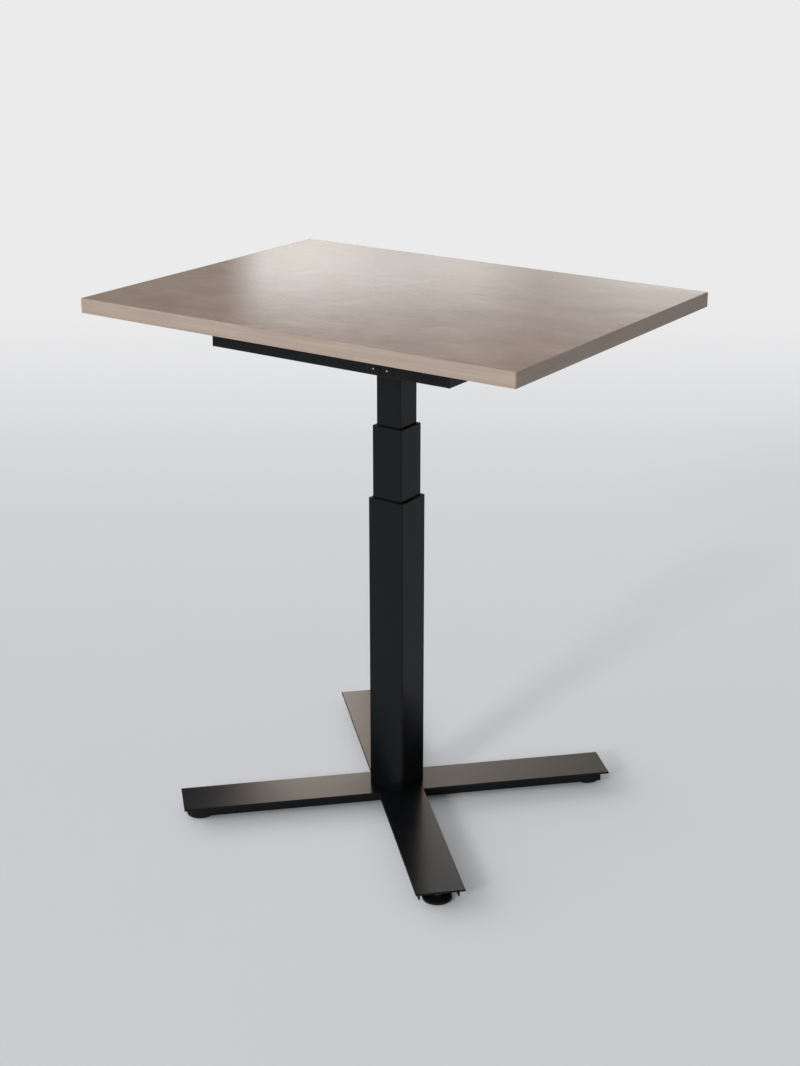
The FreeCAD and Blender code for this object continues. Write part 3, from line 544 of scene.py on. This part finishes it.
class DESK_OT_column(bpy.types.Operator):
    """Draw the three tubes and mould the collars in their mouths."""

    bl_idname = "desk.column"
    bl_label = "Column"

    def execute(self, context):
        size = sizes()
        wall, corner = size["tube_wall"], size["tube_corner"]
        for node, body in (("outer_tube", "base"), ("middle_tube", "middle_stage"), ("inner_tube", "top")):
            low, high = corners(node)
            width = high[0] - low[0]
            bore, bore_corner = width - 2 * wall, corner - wall
            rows = [(width, width, corner, low[2]), (width, width, corner, high[2]),
                    (bore, bore, bore_corner, high[2]), (bore, bore, bore_corner, low[2])]
            make_piece(f"{node}_drawn", [weave(rings(rows), ring=True)], "powder_coated_steel", body, [node])

        lip, running_gap, skirt_gap = 1.5, 0.4, 0.1
        mouth_corner, skirt_corner = 3.4, 1
        for node, moving, body in (("outer_collar", "middle_tube", "base"),
                                   ("middle_collar", "inner_tube", "middle_stage")):
            low, high = corners(node)
            tube_end = high[2] - lip
            width = high[0] - low[0]
            bore = 2 * (corners(moving)[1][0] + running_gap)
            skirt = width - 2 * (wall + skirt_gap)
            eased = quarter_round(size["collar_ease"])
            rows = [(width, width, corner, tube_end)]
            rows += [(width - 2 * inset, width - 2 * inset, corner - inset, high[2] - rise)
                     for inset, rise in eased[::-1]]
            rows += [(bore, bore, mouth_corner, level) for level in (high[2], low[2])]
            rows += [(skirt, skirt, skirt_corner, level) for level in (low[2], tube_end)]
            make_piece(f"{node}_moulding", [weave(rings(rows), ring=True)], "black_collar_plastic", body,
                       [node])
        return {"FINISHED"}


def leg_patches(size, reach, foot, top):
    """The plate of a leg along +X, from its mitred end to its tip, and the two flanges under it.

    The plate is its outline carried up over its rounded edge: each row is drawn in as far as the rounding
    goes there. A flange is a rounded rectangle carried up from its lower edge to the plate.
    """
    half, sheet, mitre_gap = size["leg_width"] / 2, size["leg_sheet"], 0.2
    inset, rise = np.vstack([[(0, sheet)], quarter_round(size["leg_bend"])[::-1]]).T
    # The sawn tip is eased less than the rolled long edges.
    tip_share = 0.4
    side, tip = half - inset, reach - tip_share * inset
    along = np.stack([0 * side + mitre_gap, side + mitre_gap, tip, tip, side + mitre_gap], -1)
    across = np.stack([0 * side, -side, -side, side, side], -1)
    plate = weave(np.stack([along, across, (top - rise)[:, None] + 0 * along], -1), capped=True)

    middle = half - size["flange_inset"] - sheet / 2
    begin, stop = middle + sheet / 2 + mitre_gap, reach - size["leg_overhang"]
    run, ease, eased_corner, corner = stop - begin, 0.4, 0.2, 0.5
    bar = weave(rings([(run - 2 * ease, sheet - 2 * ease, eased_corner, foot),
                       (run, sheet, corner, foot + ease), (run, sheet, corner, top - sheet)]), capped=True)
    return [plate] + [shifted(bar, (begin + stop) / 2, way * middle) for way in (-1, 1)]


class DESK_OT_legs(bpy.types.Operator):
    """Cut the plates of the four legs and set the flanges under them."""

    bl_idname = "desk.legs"
    bl_label = "Legs"

    def execute(self, context):
        size = sizes()
        for corner, angle in CORNERS.items():
            node = f"leg_{corner}"
            low, high = corners(node)
            reach = np.abs([low[:2], high[:2]]).max() * 2 ** 0.5 - size["leg_width"] / 2
            patches = [shifted(patch, turn=angle) for patch in leg_patches(size, reach, low[2], high[2])]
            make_piece(f"{node}_welded", patches, "powder_coated_steel", "base", [node])
        return {"FINISHED"}


class DESK_OT_feet(bpy.types.Operator):
    """Mould the round pads of the levelling feet."""

    bl_idname = "desk.feet"
    bl_label = "Levelling feet"

    def execute(self, context):
        sole_rim, sole_hollow, sole_ease = 5, 0.6, 2
        boss, socket, socket_floor = 8, 5.1, 3
        for corner in CORNERS:
            node = f"foot_pad_{corner}"
            low, high = corners(node)
            x, y, _ = (low + high) / 2
            radius, tall = (high[0] - low[0]) / 2, high[2]
            profile = [(0, sole_hollow), (radius - sole_rim - 1, sole_hollow), (radius - sole_rim, 0)]
            profile += [(radius - inset, rise) for inset, rise in quarter_round(sole_ease)]
            profile += [(radius, 4.2), (radius - 0.3, 4.8), (radius - 1, 5.3)]
            profile += [(boss + 1.2, 7.3), (boss + 0.3, 7.7), (boss, 8.3), (boss, tall)]
            profile += [(socket, tall), (socket, socket_floor), (0, socket_floor)]
            make_piece(f"foot_disc_{corner}", [shifted(weave(turned(profile, 64)), x, y)], "foot_rubber",
                       f"foot_{corner}", [node])
        return {"FINISHED"}


def thread_rows(radius, depth, lead, foot, end, turns):
    """Rows of a two-start screw thread: the radius drops by a trapezoid wave of height less angle."""
    rows_per_lead, starts, runout = 14, 2, 2
    height = np.linspace(foot, end, int((end - foot) / lead * rows_per_lead))[:, None]
    angle = turn_angles(turns)
    phase = np.mod(starts * (height / lead - angle / tau), 1)
    wave = np.clip((np.abs(2 * phase - 1) - 0.25) * 2, 0, 1)
    fade = np.clip(np.minimum(height - foot, end - height) / runout, 0, 1)
    return polar(radius - depth * wave * fade, angle, height)


class DESK_OT_spindles(bpy.types.Operator):
    """Cut the threads of the two lifting spindles."""

    bl_idname = "desk.spindles"
    bl_label = "Lifting spindles"

    def execute(self, context):
        size = sizes()
        turns = 36
        depth, lead = size["thread_depth"], size["spindle_lead"]
        angle = turn_angles(turns)

        # The bore is a circle with a slot across it for the driver's keys.
        crest, collar, collar_height, plain = 9, 12, 3, 12
        bore_radius, key_reach, key_half, tiny = 6.5, 7.8, 2, 1e-6
        low, high = corners("hollow_spindle")
        neck = high[2] - collar_height
        thread = thread_rows(crest, depth, lead, low[2], neck - plain, turns)
        flange = turned([(crest, neck), (collar, neck), (collar, high[2])], turns)
        keyway = np.minimum(key_reach / np.maximum(np.abs(np.cos(angle)), tiny),
                            key_half / np.maximum(np.abs(np.sin(angle)), tiny))
        bore = np.maximum(bore_radius, keyway)
        ends = np.stack([polar(bore, angle, level) for level in (high[2], low[2])])
        make_piece("hollow_spindle_thread", [weave(np.concatenate([thread, flange, ends]), ring=True)],
                   "bright_steel", "hollow_spindle", ["hollow_spindle"])

        # The solid spindle's thread is finer, and stops short of its driver and of the collar at its head.
        crest, collar, collar_height, fine, ease = 5, 8, 3, 0.7, 0.4
        driver_run, plain, bearing_gap = 16, 15, 0.1
        low, high = corners("drive_spindle")
        shoulder = corners("head_bearing")[0][2] - bearing_gap
        thread = thread_rows(crest, fine, lead, low[2] + driver_run, shoulder - plain, turns)
        foot = turned([(0, low[2]), (crest - ease, low[2]), (crest, low[2] + ease)], turns)
        head = turned([(crest, shoulder - collar_height), (collar, shoulder - collar_height),
                       (collar, shoulder), (crest, shoulder), (crest, high[2] - ease),
                       (crest - ease, high[2]), (0, high[2])], turns)
        make_piece("drive_spindle_thread", [weave(np.concatenate([foot, thread, head]))],
                   "bright_steel", "drive_spindle", ["drive_spindle"])
        return {"FINISHED"}


class DESK_OT_motor(bpy.types.Operator):
    """Draw the motor can behind the gear housing."""

    bl_idname = "desk.motor"
    bl_label = "Drive motor"

    def execute(self, context):
        low, high = corners("drive_motor")
        middle_x, _, middle_z = (low + high) / 2
        radius, run = (high[0] - low[0]) / 2, high[1] - low[1]
        spigot, neck, cap, cap_height = 12, 6, 15, 8
        rolled = quarter_round(2.5, 6)
        seam, seam_depth = neck + 24, 0.5
        can_end = run - cap_height
        profile = [(0, 0), (spigot, 0), (spigot, neck)]
        profile += [(radius - inset, neck + rise) for inset, rise in rolled]
        groove = radius - seam_depth
        profile += [(radius, seam), (groove, seam + 0.5), (groove, seam + 2), (radius, seam + 2.5)]
        profile += [(radius - inset, can_end - rise) for inset, rise in rolled[::-1]]
        profile += [(cap, can_end), (cap, run - 1), (cap - 1, run)]
        profile += [(6, run), (5.5, run - 0.6), (0, run - 0.6)]
        can = towards(weave(turned(profile, 64)), "+Y")
        make_piece("motor_can", [shifted(can, middle_x, low[1], middle_z)], "motor_steel", "top",
                   ["drive_motor"])
        return {"FINISHED"}


class DESK_OT_buttons(bpy.types.Operator):
    """Mould the crowned buttons of the hand control and print a dot on each."""

    bl_idname = "desk.buttons"
    bl_label = "Buttons"

    def execute(self, context):
        crown = sizes()["button_crown"]
        corner, ease, tiny = 1.6, 0.8, 1e-6
        dot, sunk = [(0, 0), (1.2, 0), (1.2, 0.05), (1, 0.12), (0.6, 0.16), (0, 0.17)], 0.1
        for node in ("button_up", "button_down"):
            low, high = corners(node)
            middle_x, _, middle_z = (low + high) / 2
            width, deep, tall = high - low
            share = np.linspace(1, 0, 7)[1:]
            rows = [(width, tall, corner, 0)]
            rows += [(width - 2 * inset, tall - 2 * inset, corner - inset, deep - crown - rise)
                     for inset, rise in quarter_round(ease)[::-1]]
            rows += [((width - 2 * ease) * part + tiny, (tall - 2 * ease) * part + tiny,
                      (corner - ease) * part, deep - crown * part ** 2) for part in share]
            pad = towards(weave(rings(rows), capped=True), "-Y")
            make_piece(f"{node}_pad", [shifted(pad, middle_x, high[1], middle_z)], "button_plastic", node,
                       [node])
            ink = towards(weave(turned(dot, 24)), "-Y")
            mark = make_piece(f"{node}_dot", [shifted(ink, middle_x, low[1] + sunk, middle_z)],
                              "button_mark", node)
        return {"FINISHED"}


def hexagon(radius, rise, depth, turns):
    """Rows of a six-sided bar, capped by a cone that chamfers it near a face.

    The bar's radius is the distance of its flats over the cosine of the angle from the nearest one, and
    the cone's grows with the depth of each row below the face.
    """
    angle = turn_angles(turns)
    cone_share, cone_slope = 0.94, 1.7
    flat = radius * np.cos(pi / 6)
    bar = flat / np.cos(np.mod(angle, pi / 3) - pi / 6)
    rise, depth = (np.asarray(level, float)[:, None] for level in (rise, depth))
    return polar(np.minimum(bar, cone_share * flat + cone_slope * depth), angle, rise)


def hexagon_bolt(radius, head, shank, reach, turns=48):
    """A bolt with its head down: a hexagon that is chamfered below, and a round shank."""
    rise = [0, 0.2, 0.4, 0.6, 0.9, head]
    end, ease = reach + head, 0.6
    stem = turned([(shank, head), (shank, end - ease), (shank - ease, end), (0, end)], turns)
    return weave(np.concatenate([turned([(0, 0)], turns), hexagon(radius, rise, rise, turns), stem]))


def hexagon_nut(radius, tall, bore, turns=48):
    """A nut: a hexagon that is chamfered at both faces, round a plain bore."""
    rise = np.array([0, 0.2, 0.4, 0.7, tall - 0.7, tall - 0.4, tall - 0.2, tall])
    outside = hexagon(radius, rise, np.minimum(rise, tall - rise), turns)
    return weave(np.concatenate([outside, turned([(bore, tall), (bore, 0)], turns)]), ring=True)


def crosshead_screw(radius, head, shank, reach, turns=64):
    """A pan-head screw with its head down: a dome, sunk by a cone where a point lies on the cross."""
    angle = turn_angles(turns)
    arm, recess, bottom, slope = 0.13 * radius, 0.62 * radius, 0.4 * radius, 1.3
    crown, deepest, point = 0.7 * head, 0.75 * head, 2.5
    out = np.linspace(0, 1, 15)[:, None] * radius
    dome = crown * (1 - np.sqrt(np.clip(1 - (out / radius) ** 2 * 0.95, 0, 1)))
    x, y = out * np.cos(angle), out * np.sin(angle)
    cross = np.minimum(np.abs(x), np.abs(y)) < arm
    sunk = np.clip(recess - out, 0, bottom) * slope
    face = np.stack([x, y, dome + cross * np.minimum(sunk, deepest)], -1)
    stem = turned([(radius, head), (shank, head), (shank, reach + head - point), (0, reach + head)], turns)
    return weave(np.concatenate([face, stem]))


def spots(*pairs):
    """Places in a rectangle about the axis, one in each quarter, for each pair of distances."""
    return [(x * across, y * along) for across, along in pairs for x in (1, -1) for y in (1, -1)]


class DESK_OT_fasteners(bpy.types.Operator):
    """Cut the bolts, nuts and screws of the base, the column's head and the top."""

    bl_idname = "desk.fasteners"
    bl_label = "Fasteners"

    def execute(self, context):
        hexagon_radius, bolt_head, shank, nut_bore = 5.5, 4, 3, 3.1
        screw_radius, screw_head, screw_shank = 4.5, 2.5, 2
        # Two bolts hold each leg, at two distances from the axis, and three screws each quarter of the top.
        near, far = 24 / 2 ** 0.5, 37 / 2 ** 0.5
        head_pattern = spots((75, 45))
        rail_pattern = spots((32, 176), (160, 176), (210, 105))
        bolts = (
            ("leg_bolts", "base", spots((near, near), (far, far))),
            ("head_bolts", "top", head_pattern),
        )
        for node, body, places in bolts:
            low, high = corners(node)
            bolt = hexagon_bolt(hexagon_radius, bolt_head, shank, high[2] - low[2] - bolt_head)
            make_piece(f"{node}_cut", [shifted(bolt, x, y, low[2]) for x, y in places], "zinc_plated_steel",
                       body, [node])
        low, high = corners("head_nuts")
        nut = hexagon_nut(hexagon_radius, high[2] - low[2], nut_bore)
        make_piece("head_nuts_cut", [shifted(nut, x, y, low[2]) for x, y in head_pattern],
                   "zinc_plated_steel", "top", ["head_nuts"])

        box_low, box_high = corners("control_box_screws")
        box_x = (box_low[0] + box_high[0]) / 2
        hand_low, hand_high = corners("hand_control_screws")
        hand_y = (hand_low[1] + hand_high[1]) / 2
        box_ends = box_low[1] + screw_radius, box_high[1] - screw_radius
        hand_ends = hand_low[0] + screw_radius, hand_high[0] - screw_radius
        screws = (
            ("rail_screws", rail_pattern),
            ("control_box_screws", [(box_x, y) for y in box_ends]),
            ("hand_control_screws", [(x, hand_y) for x in hand_ends]),
        )
        for node, places in screws:
            low, high = corners(node)
            screw = crosshead_screw(screw_radius, screw_head, screw_shank, high[2] - low[2] - screw_head)
            make_piece(f"{node}_cut", [shifted(screw, x, y, low[2]) for x, y in places], "zinc_plated_steel",
                       "top", [node])
        return {"FINISHED"}


# Studio

# The camera's place in metres, its tilt and heading in degrees, and its lens and sensor in millimetres.
EYE_PLACE = (1.5691, -2.2851, 1.5090)
EYE_TILT, EYE_HEADING = 69.828, 34.367
EYE_LENS, EYE_SENSOR = 59.78, 36

# The floor's grid in metres, its drop under the feet, and the level way from the camera past the desk.
FLOOR_GRID = np.linspace(-60, 60, 13)
FLOOR_DROP = 0.5 * MM
PAST_DESK = (-0.565, 0.825, 0)

# Each cloth's glow and tint, and the shares of its glow across it and up it.
LOWER_CLOTH = (3.15, "#ffeede", [
    (-0.5, 0), (-0.44, 0.1), (-0.38, 0.53), (-0.31, 1), (-0.22, 0.95), (-0.13, 0.86), (-0.08, 0.84),
    (-0.05, 0.2), (0.045, 0.2), (0.085, 0.58), (0.13, 0.56), (0.22, 0.46), (0.31, 0.39), (0.46, 0.29),
    (0.6, 0.215), (0.9, 0)], [
    (0.2, 0), (0.35, 1), (0.6, 1), (0.75, 1), (0.87, 0.88), (1, 0.5), (1.07, 0)])
UPPER_CLOTH = (2.25, "#fbfefb", [
    (-0.55, 0.05), (-0.46, 0), (-0.43, 0), (-0.39, 0.3), (-0.34, 0.82), (-0.22, 0.9), (-0.1, 0.77),
    (0.05, 0.7), (0.19, 0.69), (0.28, 0.5), (0.34, 0.38), (0.42, 0.48), (0.49, 0.6), (0.6, 0.84),
    (0.95, 1)], [
    (1.02, 0), (1.12, 0.85), (1.19, 1), (1.25, 0.5), (1.33, 0)])


def studio_floor():
    """Matt paper that sweeps away behind the desk: shadows near by, lit from within towards the backdrop,
    and painted contact shade under the legs and feet.
    """
    material, tree, place = start_material("studio_floor")
    shade = chosen("floor")
    paper = ramp(tree, noise(tree, place, 400), (0.3, dimmed(shade, 0.99)), (0.7, shade))
    matt = add_node(tree, "ShaderNodeBsdfDiffuse", {"Color": paper}).outputs[0]
    behind = add_node(tree, "ShaderNodeVectorMath", {0: place, 1: PAST_DESK}, operation="DOT_PRODUCT")
    distance = add_node(tree, "ShaderNodeVectorMath", {0: place}, operation="LENGTH")
    away = mapped(tree, behind.outputs["Value"], (-0.1, 3.9), easing="SMOOTHSTEP")
    around = mapped(tree, distance.outputs["Value"], (2, 6), easing="SMOOTHERSTEP")
    sweep = maths(tree, "MAXIMUM", away, around)
    # Even next to the desk, a third of what the camera sees of the paper is its own glow: painted light that
    # lightens the shadows there.
    within = mapped(tree, sweep, (0, 1), (0.33, 1))
    # Painted contact shade: ambient occlusion cuts the paper's own glow under the legs and feet, so the
    # paper darkens there.
    painted_contact_shade = add_node(tree, "ShaderNodeAmbientOcclusion", {"Distance": 0.06}, samples=8).outputs["AO"]
    lit = maths(tree, "MULTIPLY", within, painted_contact_shade)
    path = add_node(tree, "ShaderNodeLightPath").outputs
    # Gloss sees the floor at about half its light, as where the studio is dark on all sides.
    mirrored = maths(tree, "MULTIPLY", path["Is Glossy Ray"], 0.55)
    share = maths(tree, "MULTIPLY_ADD", path["Is Camera Ray"], lit, mirrored)
    far = ramp(tree, sweep, (0, tone("#c9cbce")), (1, chosen("backdrop")))
    glow = add_node(tree, "ShaderNodeEmission", {"Color": far, "Strength": path["Is Camera Ray"]}).outputs[0]
    both = add_node(tree, "ShaderNodeMixShader", {0: share, 1: matt, 2: glow}).outputs[0]
    # From below the paper is clear, so that the underside of the desk can be looked at.
    below = add_node(tree, "ShaderNodeNewGeometry").outputs["Backfacing"]
    clear = add_node(tree, "ShaderNodeBsdfTransparent").outputs[0]
    sheet = add_node(tree, "ShaderNodeMixShader", {0: below, 1: both, 2: clear}).outputs[0]
    add_node(tree, "ShaderNodeOutputMaterial", {"Surface": sheet})
    return material


def diffuser_cloth(name, glow, tint, across, upward):
    """Thin white cloth with lamps behind it, through which the room still shows.

    Its light is the full glow times a share for its own x and a share for its own y, each of them a
    list of distances in metres and shares with straight lines between.
    """
    material, tree, place = start_material(name)
    parts = add_node(tree, "ShaderNodeSeparateXYZ", {0: place}).outputs
    bright = glow
    for part, shares in zip(parts, (across, upward)):
        first, last = shares[0][0], shares[-1][0]
        stops = [((spot - first) / (last - first), (share, share, share, 1)) for spot, share in shares]
        bright = maths(tree, "MULTIPLY", ramp(tree, mapped(tree, part, (first, last)), *stops), bright)
    lit = add_node(tree, "ShaderNodeEmission", {"Color": tone(tint), "Strength": bright}).outputs[0]
    clear = add_node(tree, "ShaderNodeBsdfTransparent").outputs[0]
    both = add_node(tree, "ShaderNodeAddShader", {0: lit, 1: clear}).outputs[0]
    add_node(tree, "ShaderNodeOutputMaterial", {"Surface": both})
    return material


def studio_room():
    """A plain room, and the light that it sheds on the desk.

    What the camera and gloss see is a pale backdrop, dim above the horizon in gloss. What lights the
    desk is an even fill with large soft light low on the left.
    """
    world = bpy.data.worlds.new("studio")
    world.use_nodes = True
    tree = world.node_tree
    tree.nodes.clear()
    way = add_node(tree, "ShaderNodeTexCoord").outputs["Generated"]
    height = add_node(tree, "ShaderNodeSeparateXYZ", {0: way}).outputs[2]
    path = add_node(tree, "ShaderNodeLightPath").outputs
    room = ramp(tree, height, (0.04, chosen("backdrop")), (0.14, tone("#5c5c5c")))
    dim = add_node(tree, "ShaderNodeBackground", {"Color": room, "Strength": 1}).outputs[0]
    pale = add_node(tree, "ShaderNodeBackground", {"Color": chosen("backdrop"), "Strength": 1}).outputs[0]
    # The soft light is a band of sky that fades towards the right.
    black, white = tone("#000000"), tone("#ffffff")
    band = ramp(tree, height, (0.1, black), (0.25, white), (0.5, white), (0.65, black))
    soft_side, soft_gain, even_fill = (-0.98, -0.17, 0), 4.8, 0.24
    leftward = add_node(tree, "ShaderNodeVectorMath", {0: way, 1: soft_side}, operation="DOT_PRODUCT")
    soft = maths(tree, "MULTIPLY", band, maths(tree, "MAXIMUM", leftward.outputs["Value"], 0))
    strength = maths(tree, "MULTIPLY_ADD", soft, soft_gain, even_fill)
    fill = add_node(tree, "ShaderNodeBackground", {"Color": white, "Strength": strength}).outputs[0]
    shown = add_node(tree, "ShaderNodeMixShader", {0: path["Is Camera Ray"], 1: dim, 2: pale}).outputs[0]
    mirrored = maths(tree, "MAXIMUM", path["Is Camera Ray"], path["Is Glossy Ray"])
    seen = maths(tree, "MAXIMUM", mirrored, path["Is Transmission Ray"])
    both = add_node(tree, "ShaderNodeMixShader", {0: seen, 1: fill, 2: shown}).outputs[0]
    add_node(tree, "ShaderNodeOutputWorld", {"Surface": both})
    return world


def add_stage(name, x, y, material):
    """A flat sheet of the studio over a grid of two lists of distances, in metres."""
    grid = np.stack([*np.meshgrid(x, y, indexing="ij"), np.zeros((len(x), len(y)))], -1)
    points, faces = weave(grid, around=False)
    mesh = bpy.data.meshes.new(name)
    mesh.from_pydata(points, [], faces)
    mesh.materials.append(material)
    sheet = bpy.data.objects.new(name, mesh)
    bpy.context.scene.collection.objects.link(sheet)
    return sheet


def set_camera():
    """The camera, level across and tilted down at the desk."""
    eye = bpy.data.cameras.new("camera")
    eye.sensor_width = EYE_SENSOR
    eye.lens = EYE_LENS
    camera = bpy.data.objects.new("camera", eye)
    camera.location = EYE_PLACE
    camera.rotation_euler = (radians(EYE_TILT), 0, radians(EYE_HEADING))
    bpy.context.scene.collection.objects.link(camera)
    return camera


def hang_cloths(camera):
    """Two cloths behind the desk, square to the view, that only show in gloss.

    The lower one shows in the legs and the upper one in the tabletop.
    """
    heading = camera.rotation_euler.z
    cloths = (("lower", LOWER_CLOTH, 4.27), ("upper", UPPER_CLOTH, 4.3))
    for name, light, away in cloths:
        material = diffuser_cloth(f"{name}_cloth", *light)
        cloth = add_stage(f"{name}_diffuser", [-0.55, 0.95], [0, 1.5], material)
        cloth.location = camera.location + away * Vector((-np.sin(heading), np.cos(heading), 0))
        cloth.location.z = 0
        cloth.rotation_euler = (pi / 2, 0, heading)
        cloth.visible_camera = False
        cloth.visible_diffuse = False
        cloth.visible_shadow = False


def sun(name, bearing, height, strength, spread):
    """A distant lamp at a bearing from +X and a height, both in degrees, with the angle that it fills."""
    lamp = bpy.data.lights.new(name, "SUN")
    lamp.energy = pi * strength
    lamp.angle = radians(spread)
    holder = bpy.data.objects.new(name, lamp)
    bpy.context.scene.collection.objects.link(holder)
    holder.rotation_euler = (0, radians(90 - height), radians(bearing))
    holder.visible_glossy = False


class DESK_OT_stage(bpy.types.Operator):
    """Set the camera, the pale floor, the backdrop and the lamps."""

    bl_idname = "desk.stage"
    bl_label = "Studio"

    def execute(self, context):
        scene = context.scene
        scene.view_settings.view_transform = "Standard"
        scene.camera = set_camera()
        floor = add_stage("floor", FLOOR_GRID, FLOOR_GRID, studio_floor())
        floor.location.z = -FLOOR_DROP
        hang_cloths(scene.camera)
        scene.world = studio_room()
        sun("front_lamp", bearing=-90, height=20, strength=0.45, spread=10)
        sun("right_lamp", bearing=20, height=12, strength=0.06, spread=60)
        return {"FINISHED"}


PIECES = (DESK_OT_finishes, DESK_OT_tabletop, DESK_OT_column, DESK_OT_legs, DESK_OT_feet, DESK_OT_spindles,
          DESK_OT_motor, DESK_OT_buttons, DESK_OT_fasteners, DESK_OT_stage)


class DESK_PT_panel(bpy.types.Panel):
    """The desk's sizes, colours and pieces."""

    bl_idname = "DESK_PT_panel"
    bl_label = "Standing desk"
    bl_space_type = "VIEW_3D"
    bl_region_type = "UI"
    bl_category = "Desk"

    def draw(self, context):
        """Lists every size and colour, and a button for each operator."""
        for holder in (context.scene.desk_sizes, context.scene.desk_colours):
            for name in type(holder).__annotations__:
                self.layout.prop(holder, name)
        for piece in PIECES:
            self.layout.operator(piece.bl_idname)


CLASSES = (DeskSizes, DeskColours, *PIECES, DESK_PT_panel)


def register():
    """Adds the classes, and the sizes and colours to the scene."""
    for item in CLASSES:
        bpy.utils.register_class(item)
    bpy.types.Scene.desk_sizes = PointerProperty(type=DeskSizes)
    bpy.types.Scene.desk_colours = PointerProperty(type=DeskColours)


def unregister():
    """Takes away what register added."""
    del bpy.types.Scene.desk_colours
    del bpy.types.Scene.desk_sizes
    for item in reversed(CLASSES):
        bpy.utils.unregister_class(item)


def main():
    """Makes every piece and the studio."""
    register()
    for piece in PIECES:
        group, name = piece.bl_idname.split(".")
        getattr(getattr(bpy.ops, group), name)()


if __name__ == "__main__":
    main()
